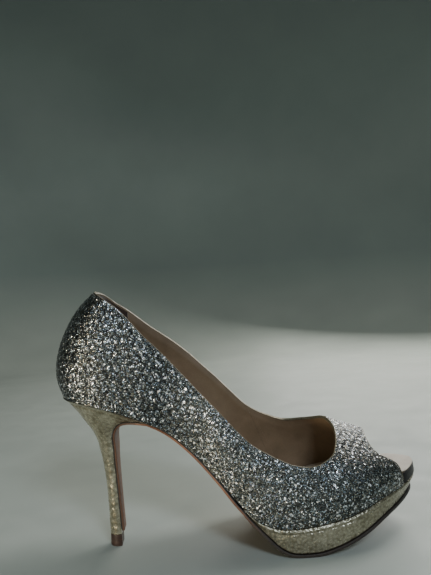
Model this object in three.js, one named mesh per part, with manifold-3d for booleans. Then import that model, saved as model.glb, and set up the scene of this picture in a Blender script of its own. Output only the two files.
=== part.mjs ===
// Peep-toe platform pump with a stiletto heel, right shoe. Millimetres, +Z up, +X towards the toe,
// +Y towards the inner side of the foot. All pieces are worked out from the shape of the last
// (the foot form that a shoe is built on) and from the named thicknesses and clearances below.
import * as THREE from "three";
import { mergeVertices } from "three/addons/utils/BufferGeometryUtils.js";
import Module from "manifold-3d";

const wasm = await Module();
wasm.setup();

// ---- driving dimensions -----------------------------------------------------------------------
const insoleLength = 205.5; // from the back of the seat to the tip of the toe, in plan
const ballWidth = 78; // widest part of the last, in plan
const heelHeight = 88.6; // from the ground to the back of the seat
const backHeight = 62; // upper, above the seat at the centre back
const platformLift = 15.2; // top of the platform above the ground, under the ball
const toeSpring = 13.8; // rise of the toe above the ball

const clearance = 0.3; // between pieces that are glued, stitched or driven together
const upperThickness = 0.8;
const stiffenerThickness = 0.6;
const liningThickness = 0.6;
const gripThickness = 0.5;
const bindingHeight = 1.0; // folded strip along the topline and the peep edge
const bindingProud = 0.1;
const lastingMargin = 12; // how far the upper is turned in under the insole

const shankThickness = 1.0;
const shankWidth = 10;
const shankBoardThickness = 1.0;
const insoleThickness = 1.8;
const sockThickness = 0.9;
const cushionThickness = 1.2;
const rivetHead = 0.6;

const outsoleThickness = 1.6;
const waistThickness = 1.7;
const flapThickness = 1.5; // the sole's tongue that covers the front of the heel
const coverThickness = 0.8; // metallic leather on the platform and on the heel
const platformLedge = 0.8; // platform stands this far outside the upper
const toeRecess = 0.6; // and this far inside the insole at the tip of the toe

const stemWidth = 9.8; // heel just above its top piece, side to side
const stemLength = 7.3; // the same, front to back
const topPieceHeight = 6.6;
const tubeDiameter = 3.6;
const tubeWall = 0.5;
const tubeLength = 41;
const dowelLength = 20;
const screwDiameter = 4;
const nailDiameter = 2.2;
const rivetDiameter = 3;
const roundSides = 12; // facets round each fastener

// ---- curves -----------------------------------------------------------------------------------
// A smooth function through [x, y] points, continued in a straight line past its ends.
function through(points) {
  const last = points.length - 1;
  const step = (i) => points[i + 1][0] - points[i][0];
  const rise = (i) => (points[i + 1][1] - points[i][1]) / step(i);
  const slopes = points.map((_, i) => {
    if (i === 0) return rise(0);
    if (i === last) return rise(last - 1);
    return (rise(i - 1) * step(i) + rise(i) * step(i - 1)) / (step(i - 1) + step(i));
  });
  return (x) => {
    if (x <= points[0][0]) return points[0][1] + (x - points[0][0]) * slopes[0];
    if (x >= points[last][0]) return points[last][1] + (x - points[last][0]) * slopes[last];
    let i = 0;
    while (x > points[i + 1][0]) i += 1;
    const h = step(i);
    const t = (x - points[i][0]) / h;
    const t2 = t * t;
    const t3 = t2 * t;
    return (
      (2 * t3 - 3 * t2 + 1) * points[i][1] +
      (t3 - 2 * t2 + t) * h * slopes[i] +
      (3 * t2 - 2 * t3) * points[i + 1][1] +
      (t3 - t2) * h * slopes[i + 1]
    );
  };
}

const mix = (a, b, t) => a + (b - a) * t;
const smooth = (from, to, x) => THREE.MathUtils.smoothstep(x, from, to);
const spread = (from, to, count) => Array.from({ length: count + 1 }, (_, i) => mix(from, to, i / count));

// ---- the last ---------------------------------------------------------------------------------
// Its curves are drawn for a last of these sizes, and scaled to the driving dimensions.
const drawn = { length: 205.5, width: 78, wall: 62, rise: 73.4 };
const seatBack = -26; // back of the seat, from the heel's centre line
const sx = insoleLength / drawn.length;
const sy = ballWidth / drawn.width;
const sz = backHeight / drawn.wall;
const pitch = (heelHeight - platformLift) / drawn.rise; // steepness of the waist, against the drawn last
const station = (x) => seatBack + (x - seatBack) * sx; // where a drawn station lies on this last
const drawnAt = (x) => seatBack + (x - seatBack) / sx;

const seatFront = station(5); // the round back of the seat ends here
const toeStart = station(122); // the round of the toe starts here
const toeTip = station(179.5);
const ball = station(100);
const toeOffset = 4 * sy; // the toe's tip lies this far towards the inner side

const archFall = through([
  [0, 0], [0.08, 0.008], [0.16, 0.062], [0.22, 0.157], [0.307, 0.335], [0.417, 0.554],
  [0.528, 0.721], [0.63, 0.817], [0.748, 0.904], [0.866, 0.964], [1, 1],
]);
const toeRise = through([[0, 0], [0.185, 0.109], [0.432, 0.39], [0.64, 0.73], [0.82, 0.89], [1, 1]]);
// Height of the last's bottom edge, where the upper turns in.
function floorZ(x) {
  if (x < ball) {
    return platformLift + (heelHeight - platformLift) * archFall((ball - x) / (ball - seatBack + 1));
  }
  return platformLift + toeSpring * toeRise((x - ball) / (toeTip - ball));
}
// The point a distance h above the last's bottom at a station, square to the bottom.
function floorPoint(x, h) {
  const slope = (floorZ(x + 0.5) - floorZ(x - 0.5)) / 1;
  const n = Math.hypot(1, slope);
  return { x: x - (h * slope) / n, z: floorZ(x) + h / n };
}

const outerHalf = through([
  [5, 26.8], [20, 26.2], [38, 24], [52, 25.4], [66, 30.6], [80, 35.5], [95, 38.6], [108, 39.6],
  [122, 39.2],
]);
const innerHalf = through([
  [5, 26.8], [20, 25.6], [38, 21.8], [52, 20.6], [66, 23.2], [80, 29], [95, 34.4], [108, 37.6],
  [122, 38.6],
]);
// Half width of the last's bottom, in plan, drawn in by inset. side is -1 outside, +1 inside.
function outline(x, side, inset = 0) {
  const half = (at) => (side < 0 ? outerHalf : innerHalf)(drawnAt(at)) * sy - inset;
  if (x < seatFront) {
    const r = (seatFront - x) / (seatFront - seatBack - inset);
    return half(seatFront) * Math.sqrt(Math.max(0, 1 - r * r));
  }
  if (x <= toeStart) return half(x);
  const r = Math.min(1, (x - toeStart) / (toeTip - inset - toeStart));
  const k = Math.max(0, 1 - r ** 1.7) ** 0.62;
  const centre = side * toeOffset;
  return (half(toeStart) - centre) * k + centre;
}

const wallHeight = through([
  [-27, 90], [10, 88], [30, 84], [50, 82], [70, 80], [90, 71], [110, 55], [132, 41.4],
  [151.6, 28.6], [165, 20.4], [181, 11],
]);
const crestShift = through([[-27, 0], [10, 0], [50, 3], [90, 7], [120, 9], [151, 8], [165, 6], [181, 4]]);
const outerBulge = through([
  [-27, 0.1], [5, 0.1], [30, 0.22], [50, 0.22], [75, 0.08], [100, 0.06], [130, 0.08], [165, 0.1],
]);
const innerBulge = through([
  [-27, 0.1], [5, 0.1], [30, 0.3], [50, 0.42], [75, 0.25], [100, 0.12], [130, 0.1], [165, 0.1],
]);
const backCurve = through([
  [0, -26], [8, -29.1], [16, -29.6], [28, -27.2], [40, -22.2], [52, -14.8], [62.5, -5.6],
]);
const capShare = 0.23; // share of q that goes round the back of the last
const lastEnd = station(170);
// A point on the last. q runs from the centre back (0) to the toe (1), and v across it, from the
// outer bottom edge (-1) over the crest (0) to the inner bottom edge (1).
function lastPoint(q, v) {
  const side = v < 0 ? -1 : 1;
  const phi = ((1 - Math.abs(v)) * Math.PI) / 2;
  const onCap = q < capShare;
  const theta = (THREE.MathUtils.clamp(q / capShare, 0, 1) * Math.PI) / 2;
  const xs = onCap ? seatFront : mix(seatFront, lastEnd, (q - capShare) / (1 - capShare));
  const rise = wallHeight(drawnAt(xs)) * Math.sin(phi);
  const back = seatBack + (backCurve(rise) - backCurve(0));
  const x = onCap ? seatFront - (seatFront - back) * Math.cos(theta) : xs;
  const centre = crestShift(drawnAt(xs)) * sy;
  const bulge = (side < 0 ? outerBulge : innerBulge)(drawnAt(xs));
  const half = outline(xs, side) - side * centre;
  let y = centre + side * half * (Math.cos(phi) + bulge * Math.sin(2 * phi) * Math.cos(phi));
  if (onCap) y *= Math.sin(theta);
  return new THREE.Vector3(x, y, floorZ(x) + rise * sz);
}
// The point a depth below the last surface. The upper's outside face is at depth 0.
function skinPoint(q, v, depth) {
  const e = 1e-3;
  const alongQ = lastPoint(Math.min(q + e, 1), v).sub(lastPoint(Math.max(q - e, 0), v));
  const alongV = lastPoint(q, Math.min(v + e, 1)).sub(lastPoint(q, Math.max(v - e, -1)));
  const normal = alongQ.cross(alongV).normalize();
  return lastPoint(q, v).addScaledVector(normal, -depth);
}

// ---- solids -----------------------------------------------------------------------------------
// A closed geometry from points and triangles: shared points are joined, empty triangles dropped,
// and the faces are turned out.
function closed(points, triangles) {
  const places = new Map();
  const kept = [];
  const joined = points.map((p) => {
    const key = [p.x, p.y, p.z].map((n) => Math.round(n * 500)).join();
    if (!places.has(key)) {
      places.set(key, kept.length);
      kept.push(p);
    }
    return places.get(key);
  });
  let index = triangles
    .map((t) => t.map((i) => joined[i]))
    .filter(([a, b, c]) => a !== b && b !== c && c !== a);
  const volume = index.reduce((sum, [a, b, c]) => {
    return sum + kept[a].dot(new THREE.Vector3().crossVectors(kept[b], kept[c]));
  }, 0);
  if (volume < 0) index = index.map(([a, b, c]) => [a, c, b]);
  const geometry = new THREE.BufferGeometry().setFromPoints(kept);
  return geometry.setIndex(index.flat());
}

// A sheet with thickness: two grids of points, face to face, [column][row]. ring joins the last
// column to the first one.
function sheet(outer, inner, ring = false) {
  const columns = outer.length;
  const rows = outer[0].length;
  const points = [...outer.flat(), ...inner.flat()];
  const at = (layer, c, r) => layer * columns * rows + (c % columns) * rows + r;
  const triangles = [];
  const quad = (a, b, c, d) => triangles.push([a, b, c], [a, c, d]);
  for (let c = 0; c < columns - (ring ? 0 : 1); c += 1) {
    for (let r = 0; r < rows - 1; r += 1) {
      quad(at(0, c, r), at(0, c + 1, r), at(0, c + 1, r + 1), at(0, c, r + 1));
      quad(at(1, c, r), at(1, c, r + 1), at(1, c + 1, r + 1), at(1, c + 1, r));
    }
    quad(at(0, c, 0), at(1, c, 0), at(1, c + 1, 0), at(0, c + 1, 0));
    quad(at(0, c, rows - 1), at(0, c + 1, rows - 1), at(1, c + 1, rows - 1), at(1, c, rows - 1));
  }
  if (!ring) {
    for (let r = 0; r < rows - 1; r += 1) {
      quad(at(0, 0, r), at(0, 0, r + 1), at(1, 0, r + 1), at(1, 0, r));
      const e = columns - 1;
      quad(at(0, e, r), at(1, e, r), at(1, e, r + 1), at(0, e, r + 1));
    }
  }
  return closed(points, triangles);
}

function toSolid(geometry, place = new THREE.Matrix4()) {
  const bare = new THREE.BufferGeometry();
  bare.setAttribute("position", geometry.getAttribute("position").clone());
  bare.setIndex(geometry.index);
  const merged = mergeVertices(bare.applyMatrix4(place), 1e-4);
  return new wasm.Manifold(
    new wasm.Mesh({
      numProp: 3,
      vertProperties: new Float32Array(merged.attributes.position.array),
      triVerts: new Uint32Array(merged.index.array),
    }),
  );
}

// The geometry with every cutter, a list of solids, taken out of it.
function cutBy(geometry, cutters) {
  const left = cutters.reduce((solid, cutter) => solid.subtract(cutter), toSolid(geometry));
  const mesh = left.getMesh();
  const result = new THREE.BufferGeometry();
  result.setAttribute("position", new THREE.BufferAttribute(mesh.vertProperties, 3));
  return result.setIndex(new THREE.BufferAttribute(mesh.triVerts, 1));
}

// A turned piece that hangs down from z = 0: a list of [radius, depth] from its top, closed at the
// axis. grow makes it larger all over, for the hole that it needs.
function turned(profile, grow = 0) {
  const deepest = profile[profile.length - 1][1] + grow;
  const points = [new THREE.Vector2(0, -deepest)];
  for (const [radius, depth] of [...profile].reverse()) {
    points.push(new THREE.Vector2(radius + grow, -(depth + (depth > 0 ? grow : 0))));
  }
  points.push(new THREE.Vector2(0, 0));
  return new THREE.LatheGeometry(points, roundSides).rotateX(Math.PI / 2);
}

// ---- pieces, by name --------------------------------------------------------------------------
const shoe = new THREE.Group();
function add(name, geometry, finish, parent = shoe) {
  const mesh = new THREE.Mesh(geometry, new THREE.MeshStandardMaterial(finish));
  mesh.name = name;
  parent.add(mesh);
  return mesh;
}

const finishes = {
  glitter: { color: 0x8d9299, roughness: 0.35, metalness: 0.75 },
  goldEdge: { color: 0xb9ad8a, roughness: 0.35, metalness: 0.7 },
  goldLeather: { color: 0x9c9474, roughness: 0.42, metalness: 0.6 },
  nudeLeather: { color: 0xb79f8c, roughness: 0.6, metalness: 0 },
  suede: { color: 0x4a3426, roughness: 0.95, metalness: 0 },
  tape: { color: 0xd8d2c4, roughness: 0.9, metalness: 0 },
  stiffener: { color: 0xc9b48f, roughness: 0.85, metalness: 0 },
  board: { color: 0x8b6b47, roughness: 0.9, metalness: 0 },
  foam: { color: 0xd9cfae, roughness: 0.95, metalness: 0 },
  cork: { color: 0xa9794a, roughness: 0.95, metalness: 0 },
  blackEdge: { color: 0x0d0d0e, roughness: 0.3, metalness: 0 },
  soleLeather: { color: 0x8a5537, roughness: 0.5, metalness: 0 },
  plastic: { color: 0xe6e2d8, roughness: 0.5, metalness: 0 },
  steel: { color: 0x9a9da0, roughness: 0.35, metalness: 1 },
  topPiece: { color: 0x2a1a14, roughness: 0.55, metalness: 0 },
};

// ---- the upper --------------------------------------------------------------------------------
// Paired points of the topline and of the upper's outer edge, as [q, v] on the last, from the
// centre back along the outer side, over the vamp, and back along the inner side.
const toplineAndEdge = [
  [[0, -0.486], [0, -1]],
  [[0.12, -0.495], [0.115, -1]],
  [[0.243, -0.53], [0.23, -1]],
  [[0.33, -0.622], [0.34, -1]],
  [[0.43, -0.678], [0.46, -1]],
  [[0.53, -0.665], [0.58, -1]],
  [[0.61, -0.651], [0.69, -1]],
  [[0.68, -0.655], [0.79, -1]],
  [[0.735, -0.623], [0.89, -1]],
  [[0.778, -0.54], [0.976, -1]],
  [[0.797, -0.44], [0.962, -0.63]],
  [[0.81, -0.3], [0.91, -0.475]],
  [[0.815, -0.16], [0.897, -0.31]],
  [[0.81, 0], [0.909, -0.05]],
  [[0.803, 0.13], [0.912, 0.2]],
  [[0.782, 0.27], [0.93, 0.53]],
  [[0.75, 0.36], [0.96, 1]],
  [[0.7, 0.46], [0.87, 1]],
  [[0.63, 0.503], [0.75, 1]],
  [[0.55, 0.51], [0.62, 1]],
  [[0.45, 0.558], [0.49, 1]],
  [[0.34, 0.582], [0.35, 1]],
  [[0.238, 0.537], [0.23, 1]],
  [[0.115, 0.495], [0.115, 1]],
  [[0, 0.486], [0, 1]],
];
const outerCorner = 9; // where the peep edge meets the bottom edge, as places in that list
const innerCorner = 16;
const loopEnd = toplineAndEdge.length - 1;
const splineOf = (list) => new THREE.SplineCurve(list.map(([q, v]) => new THREE.Vector2(q, v)));
const toplineCurve = splineOf(toplineAndEdge.map((pair) => pair[0]));
const edgeSpans = [0, outerCorner, innerCorner, loopEnd];
const edgeCurves = [0, 1, 2].map((i) => {
  return splineOf(toplineAndEdge.slice(edgeSpans[i], edgeSpans[i + 1] + 1).map((pair) => pair[1]));
});
function edgeAt(s) {
  const i = s <= outerCorner ? 0 : s <= innerCorner ? 1 : 2;
  return edgeCurves[i].getPoint((s - edgeSpans[i]) / (edgeSpans[i + 1] - edgeSpans[i]));
}
// The place on the last at s round the loop and t from the topline (0) to the outer edge (1).
function across(s, t) {
  const top = toplineCurve.getPoint(s / loopEnd);
  return top.lerp(edgeAt(s), t);
}
function pointAt(s, t, depth) {
  const place = across(s, t);
  return skinPoint(place.x, place.y, depth);
}
// Distance from the topline to the outer edge, and a distance in mm as a share of it.
const widthAt = (s) => pointAt(s, 0, 0).distanceTo(pointAt(s, 1, 0));
const share = (s, mm) => mm / widthAt(s);

const perKey = 4; // columns between two pairs of the list
function columnsFrom(from, to) {
  const inside = [];
  for (let i = Math.ceil(from * perKey + 0.01); i < to * perKey - 0.01; i += 1) inside.push(i / perKey);
  return [from, ...inside, to];
}
const allRound = columnsFrom(0, loopEnd).slice(0, -1);
// Columns that pass the centre back, from a place on the inner side to one on the outer side.
const roundBack = (reach) => [
  ...columnsFrom(loopEnd - reach, loopEnd).slice(0, -1),
  ...columnsFrom(0, reach),
];

// A layer of the upper between two depths. rows gives its values of t at s.
function layer(columns, rows, from, to, ring = false) {
  const grid = (depth) => columns.map((s) => rows(s).map((t) => pointAt(s, t, depth)));
  return sheet(grid(from), grid(to), ring);
}
const evenRows = (startMm, endMm, count) => (s) => spread(share(s, startMm), 1 - share(s, endMm), count);

const stiffenerDepth = upperThickness + clearance;
const liningDepth = stiffenerDepth + stiffenerThickness + clearance;
const gripDepth = liningDepth + liningThickness + clearance;
const wallDepth = gripDepth + gripThickness; // of all layers together

const underBinding = bindingHeight + clearance; // where the layers start, below the topline

// The outer upper, in one piece with a seam at the centre back. Past its bottom edge it turns in
// under the insole, except along the peep edge.
function turnIn(s) {
  const toOuter = 1 - smooth(outerCorner - 1.5, outerCorner, s);
  const toInner = smooth(innerCorner, innerCorner + 1.5, s);
  return lastingMargin * Math.max(toOuter, toInner);
}
function outerUpper() {
  const ts = (s) => [share(s, underBinding), ...spread(0.09, 1, 8)];
  const column = (s, depth, lift) => {
    const points = ts(s).map((t) => pointAt(s, t, depth));
    const reach = turnIn(s);
    const raise = lift * Math.min(1, reach / 4);
    const rim = points[points.length - 1];
    const place = edgeAt(s);
    const inward = skinPoint(place.x, place.y, 1).sub(skinPoint(place.x, place.y, 0)).setZ(0).normalize();
    const onPeep = s > outerCorner && s < innerCorner;
    if (!onPeep) {
      const at = floorPoint(rim.x, raise);
      rim.z = reach > 0 ? at.z : rim.z;
    }
    for (const part of [0.5, 1]) {
      const turnedIn = rim.clone().addScaledVector(inward, reach * part);
      turnedIn.z += reach > 0 ? floorZ(turnedIn.x) - floorZ(rim.x) : 0;
      points.push(turnedIn);
    }
    return points;
  };
  const outer = allRound.map((s) => column(s, 0, 0));
  const inner = allRound.map((s) => column(s, upperThickness, upperThickness));
  return sheet(outer, inner, true);
}
add("outer_upper", outerUpper(), finishes.glitter);

const bindingDepth = liningDepth + liningThickness + bindingProud;
add(
  "topline_binding",
  layer(allRound, (s) => [0, share(s, bindingHeight)], -bindingProud, bindingDepth, true),
  finishes.goldEdge,
);
add(
  "peep_binding",
  layer(
    columnsFrom(outerCorner + 0.35, innerCorner - 0.25),
    (s) => [1 + share(s, clearance), 1 + share(s, clearance + bindingHeight)],
    -bindingProud,
    bindingDepth,
  ),
  finishes.goldEdge,
);
const tapeWidth = 5;
add(
  "topline_tape",
  layer(
    allRound,
    (s) => [share(s, underBinding), share(s, underBinding + tapeWidth)],
    stiffenerDepth,
    stiffenerDepth + stiffenerThickness,
    true,
  ),
  finishes.tape,
);
const aboveMargin = upperThickness + 2 * clearance; // where the inside layers end, above the turned-in edge
add(
  "heel_counter",
  layer(
    roundBack(3.5),
    evenRows(underBinding + tapeWidth + 1, aboveMargin, 8),
    stiffenerDepth,
    stiffenerDepth + stiffenerThickness,
  ),
  finishes.stiffener,
);
add(
  "toe_puff",
  layer(
    columnsFrom(outerCorner + 0.25, innerCorner - 0.25),
    (s) => spread(0.5, 1 - share(s, aboveMargin), 4),
    stiffenerDepth,
    stiffenerDepth + stiffenerThickness,
  ),
  finishes.stiffener,
);
const liningSplit = { outer: 6.5, inner: 18.5 };
const seam = 0.03; // half the gap at a lining seam, as a share of one pair's spacing
function lining(from, to) {
  const rows = evenRows(underBinding, aboveMargin, 8);
  return layer(columnsFrom(from, to), rows, liningDepth, liningDepth + liningThickness);
}
add("quarter_lining_outer", lining(seam, liningSplit.outer - seam), finishes.nudeLeather);
add("vamp_lining", lining(liningSplit.outer + seam, liningSplit.inner - seam), finishes.nudeLeather);
add("quarter_lining_inner", lining(liningSplit.inner + seam, loopEnd - seam), finishes.nudeLeather);
// Bare floor height of everything laid on the last's bottom, from the ground up.
const shankBase = rivetHead + clearance;
const boardBase = shankBase + shankThickness + clearance;
const insoleBase = boardBase + shankBoardThickness + clearance;
const insoleTop = insoleBase + insoleThickness;
const sockBase = insoleTop + clearance;
const sockTop = sockBase + sockThickness;
const gripReach = 2.2; // how far the grip runs forward of the centre back, as places in the list
add(
  "heel_grip",
  layer(
    roundBack(gripReach),
    evenRows(underBinding + 0.5, sockTop + cushionThickness + 2, 6),
    gripDepth,
    gripDepth + gripThickness,
  ),
  finishes.suede,
);

// ---- the bottom, inside -----------------------------------------------------------------------
// Stations along the last, closer together round the seat and the toe.
function stationsBetween(from, to) {
  const seat = spread(0, 1, 6).map((t) => mix(seatFront, seatBack, Math.cos((t * Math.PI) / 2)));
  const middle = spread(seatFront, toeStart, 24);
  const toe = spread(0, 1, 13).map((t) => mix(toeStart, toeTip, Math.sin((t * Math.PI) / 2)));
  const all = [...seat, ...middle, ...toe].filter((x) => x > from + 1 && x < to - 1);
  return [from, ...all.filter((x, i) => i === 0 || x - all[i - 1] > 0.2), to];
}
// A place on the outline drawn in by inset. On the round of the seat and of the toe a station
// keeps its share of the round.
function drawnIn(x, side, inset) {
  let at = x;
  if (x > toeStart) at = mix(toeStart, toeTip - inset, (x - toeStart) / (toeTip - toeStart));
  if (x < seatFront) at = mix(seatFront, seatBack + inset, (x - seatFront) / (seatBack - seatFront));
  return { x: at, y: side * outline(at, side, inset) };
}
// A flat layer on the last's bottom between two heights, with its edge drawn in by inset.
function plate({ from = seatBack, to = toeTip, inset, base, top }) {
  const value = (size, x) => (typeof size === "function" ? size(x) : size);
  const face = (height) =>
    stationsBetween(from, to).map((x) => {
      return [-1, 1].map((side) => {
        const edge = drawnIn(x, side, value(inset, x));
        const at = floorPoint(edge.x, value(height, x));
        return new THREE.Vector3(at.x, edge.y, at.z);
      });
    });
  return sheet(face(top), face(base));
}
// The insole shows at the open toe, where its edge is as wide as the last.
const openToe = station(165.5);
const edgeBand = 1.2;
const boardInset = (x) => mix(wallDepth + clearance, edgeBand + clearance, smooth(openToe, openToe + 4, x));
const sockInset = (x) => mix(wallDepth + clearance, clearance, smooth(openToe, openToe + 4, x));
const screwSpot = { x: -3.5, y: 0 };
const nailSpots = [[-10.6, 0], [-7, 7.4], [-7, -7.4], [2, 8], [2, -8]];
const rivetSpots = { rear: station(18), front: station(68) };
const shankEnds = { rear: screwSpot.x - 7, front: station(76) };
const headDrop = 1; // depth of a fastener's head
const screwHead = screwDiameter * 0.9; // radius
const screwProfile = [[screwHead, 0], [screwHead, headDrop], [screwDiameter / 2, headDrop + 1]];
screwProfile.push([screwDiameter / 2, 22], [0.6, 25]);
const nailProfile = [[nailDiameter, 0], [nailDiameter, headDrop], [nailDiameter / 2, headDrop + 0.6]];
nailProfile.push([nailDiameter / 2, 13], [0.3, 15.5]);
const rivetLength = boardBase + shankBoardThickness;
const rivetProfile = [[rivetDiameter / 2, 0], [rivetDiameter / 2, rivetLength - rivetHead]];
rivetProfile.push([rivetDiameter, rivetLength - rivetHead], [rivetDiameter, rivetLength]);

// Fasteners stand square to the seat or to the waist, with their tops at a height above the last.
function fastenerPlace(x, y, height) {
  const slope = floorZ(x + 0.5) - floorZ(x - 0.5);
  const at = floorPoint(x, height);
  const place = new THREE.Matrix4().makeRotationY(-Math.atan(slope));
  return place.setPosition(at.x, y, at.z);
}
const headSink = 0.5; // heads lie this far below the insole's face
const upright = (x, y) => new THREE.Matrix4().setPosition(x, y, floorPoint(x, insoleTop - headSink).z);
const fasteners = [
  { name: "heel_screw", profile: screwProfile, place: upright(screwSpot.x, screwSpot.y) },
  ...nailSpots.map(([x, y], i) => ({
    name: "heel_nail_" + (i + 1),
    profile: nailProfile,
    place: upright(x, y),
  })),
  ...Object.entries(rivetSpots).map(([end, x]) => ({
    name: "shank_rivet_" + end,
    profile: rivetProfile,
    place: fastenerPlace(x, 0, boardBase + shankBoardThickness),
  })),
];
for (const { name, profile, place } of fasteners) {
  const mesh = add(name, turned(profile), finishes.steel);
  mesh.applyMatrix4(place);
}
const driven = fasteners.map(({ profile, place }) => toSolid(turned(profile, clearance), place));
const rivetHoles = driven.slice(-2);
const seatHoles = driven.slice(0, -2);

const shankGeometry = (() => {
  const xs = spread(shankEnds.rear, shankEnds.front, 18);
  const face = (height, rib) =>
    xs.map((x, i) => {
      const taper = 1 - 0.35 * smooth(0.75, 1, i / (xs.length - 1));
      return [-1, -0.35, 0.35, 1].map((k) => {
        const lift = Math.abs(k) < 0.5 ? rib : 0;
        const at = floorPoint(x, height + lift);
        return new THREE.Vector3(at.x, (k * shankWidth * taper) / 2, at.z);
      });
    });
  return sheet(face(shankBase + shankThickness, 0), face(shankBase, 0.15));
})();
add("steel_shank", cutBy(shankGeometry, driven), finishes.steel);
const shankBoard = plate({
  to: station(84),
  inset: wallDepth + clearance + 2,
  base: boardBase,
  top: boardBase + shankBoardThickness,
});
add("shank_board", cutBy(shankBoard, driven), finishes.board);
const fillerInset = wallDepth + lastingMargin;
add(
  "bottom_filler",
  plate({
    from: station(86),
    to: station(158),
    inset: fillerInset,
    base: clearance,
    top: insoleBase - clearance,
  }),
  finishes.cork,
);
const insoleBoard = plate({
  inset: boardInset,
  base: insoleBase,
  top: insoleTop,
});
add("insole_board", cutBy(insoleBoard, seatHoles), finishes.board);
const padEnds = { heel: [-18, 22], forefoot: [station(88), station(138)] };
function cushion([from, to], inset) {
  return plate({ from, to, inset, base: sockBase, top: sockBase + cushionThickness });
}
add("heel_cushion", cushion(padEnds.heel, 9), finishes.foam);
add("forefoot_cushion", cushion(padEnds.forefoot, 8), finishes.foam);
// The sock rises over the two cushions.
const overOne = ([from, to], x) => smooth(from - 9, from - 2, x) - smooth(to + 2, to + 9, x);
const overPad = (x) => Math.max(...Object.values(padEnds).map((ends) => overOne(ends, x)));
const sockLift = (x) => (cushionThickness + clearance) * Math.max(0, overPad(x));
add(
  "sock",
  plate({
    inset: sockInset,
    base: (x) => sockBase + sockLift(x),
    top: (x) => sockTop + sockLift(x),
  }),
  finishes.nudeLeather,
);
// A path round the toe, as stations and sides, from one side's station to the same one opposite.
function roundToe(from) {
  const xs = stationsBetween(from, toeTip);
  const path = xs.map((x) => ({ x, side: -1 }));
  return [...path, ...xs.slice(0, -1).reverse().map((x) => ({ x, side: 1 }))];
}
function toeBand() {
  const column = ({ x, side }, inset) => {
    const at = drawnIn(x, side, inset);
    return [clearance, insoleTop].map((h) => {
      const p = floorPoint(at.x, h);
      return new THREE.Vector3(p.x, at.y, p.z);
    });
  };
  const path = roundToe(openToe + 4.5);
  return sheet(path.map((step) => column(step, 0)), path.map((step) => column(step, edgeBand)));
}
add("insole_edge_band", toeBand(), finishes.blackEdge);

// ---- platform and outsole ---------------------------------------------------------------------
const platformRear = station(72.5);
const treadFlat = [station(101), station(109)]; // the sole rests level on the ground between these
const soleTop = outsoleThickness + clearance; // underside of the platform over the tread
const rearEdge = 0.9; // the platform thins to this at its rear
const fall = through([
  [0, 0], [0.1, 0.006], [0.247, 0.055], [0.389, 0.18], [0.663, 0.53], [0.867, 0.79], [1, 1],
]);
const noseRise = through([
  [0, 0], [0.06, 0.014], [0.157, 0.078], [0.368, 0.273], [0.589, 0.53], [0.77, 0.65],
  [0.933, 0.735], [1, 0.77],
]);
const platformTop = (x) => floorZ(x) - clearance;
function underside(x) {
  if (x < treadFlat[0]) {
    const height = platformTop(platformRear) - rearEdge - soleTop;
    return soleTop + height * fall((treadFlat[0] - x) / (treadFlat[0] - platformRear));
  }
  if (x > treadFlat[1]) {
    const height = platformTop(toeTip) - soleTop;
    return soleTop + height * noseRise((x - treadFlat[1]) / (toeTip - treadFlat[1]));
  }
  return soleTop;
}
// How far the wall draws in from its top to its base.
const wallDraw = (x) => 0.8 + 2.2 * smooth(station(140), toeTip, x);
const ledge = (x) => mix(platformLedge, -toeRecess, smooth(station(140), toeTip, x));

const flange = 8; // the cover is turned in by this much over the core's edges
function platformCover() {
  const skin = (x) => Math.min(coverThickness, 0.3 * (platformTop(x) - underside(x)));
  const column = (step, inside) => {
    const top = -ledge(step.x);
    const base = top + wallDraw(step.x);
    const thin = inside ? skin(step.x) : 0;
    const rows = [
      [top + flange, "top"],
      [top + thin, "top"],
      [base + thin, "base"],
      [base + flange, "base"],
    ];
    return rows.map(([inset, edge]) => {
      const at = drawnIn(step.x, step.side, inset);
      const z = edge === "top" ? platformTop(at.x) - thin : underside(at.x) + thin;
      return new THREE.Vector3(at.x, at.y, z);
    });
  };
  const path = roundToe(platformRear);
  return sheet(path.map((step) => column(step, false)), path.map((step) => column(step, true)));
}
add("platform_cover", platformCover(), finishes.goldLeather);

function platformCore() {
  const skin = (x) => Math.min(coverThickness, 0.3 * (platformTop(x) - underside(x))) + clearance;
  const xs = stationsBetween(platformRear + 5, toeTip);
  const row = (x, edge) =>
    [-1, 1].map((side) => {
      const draw = edge === "base" ? wallDraw(x) : 0;
      const at = drawnIn(x, side, 1.4 * skin(x) + draw - ledge(x));
      const z = edge === "top" ? platformTop(at.x) - skin(x) : underside(at.x) + skin(x);
      return new THREE.Vector3(at.x, at.y, z);
    });
  return sheet(xs.map((x) => row(x, "top")), xs.map((x) => row(x, "base")));
}
add("platform_core", platformCore(), finishes.cork);

// ---- heel -------------------------------------------------------------------------------------
// u runs up the heel from the top piece (0) to the seat (1).
const stemBase = topPieceHeight + clearance;
const seatFace = (x) => floorZ(x) - clearance * pitch;
const heelZ = (u, x) => mix(stemBase, seatFace(x), u);
const drawnStem = { length: 7.3, width: 9.8 };
const breastX = through([
  [0, 3], [0.4, 1.9], [0.65, 1.6], [0.81, 2.4], [0.872, 5.2], [0.918, 9.3],
  [0.961, station(15.7)], [1, station(23)],
]);
const drawnBackX = through([
  [0, -4.3], [0.4, -4.9], [0.5, -5.6], [0.617, -7.1], [0.711, -8.7], [0.774, -11], [0.836, -14.8],
  [0.926, -20.2], [1, seatBack],
]);
const backX = (u) => drawnBackX(u) - (stemLength - drawnStem.length) * (1 - u);
const drawnHalf = through([
  [0, 4.9], [0.1, 5.1], [0.25, 5.6], [0.4, 6.2], [0.52, 7.1], [0.66, 9.2], [0.76, 11.5],
  [0.83, 14.2], [0.88, 17], [0.93, 20.6], [0.97, 24.2], [1, 26.8],
]);
const heelHalf = (u) => drawnHalf(u) * mix(stemWidth / drawnStem.width, sy, u);
const cornerShare = 0.93; // width of the heel's front face, as a share of its widest part
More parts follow.
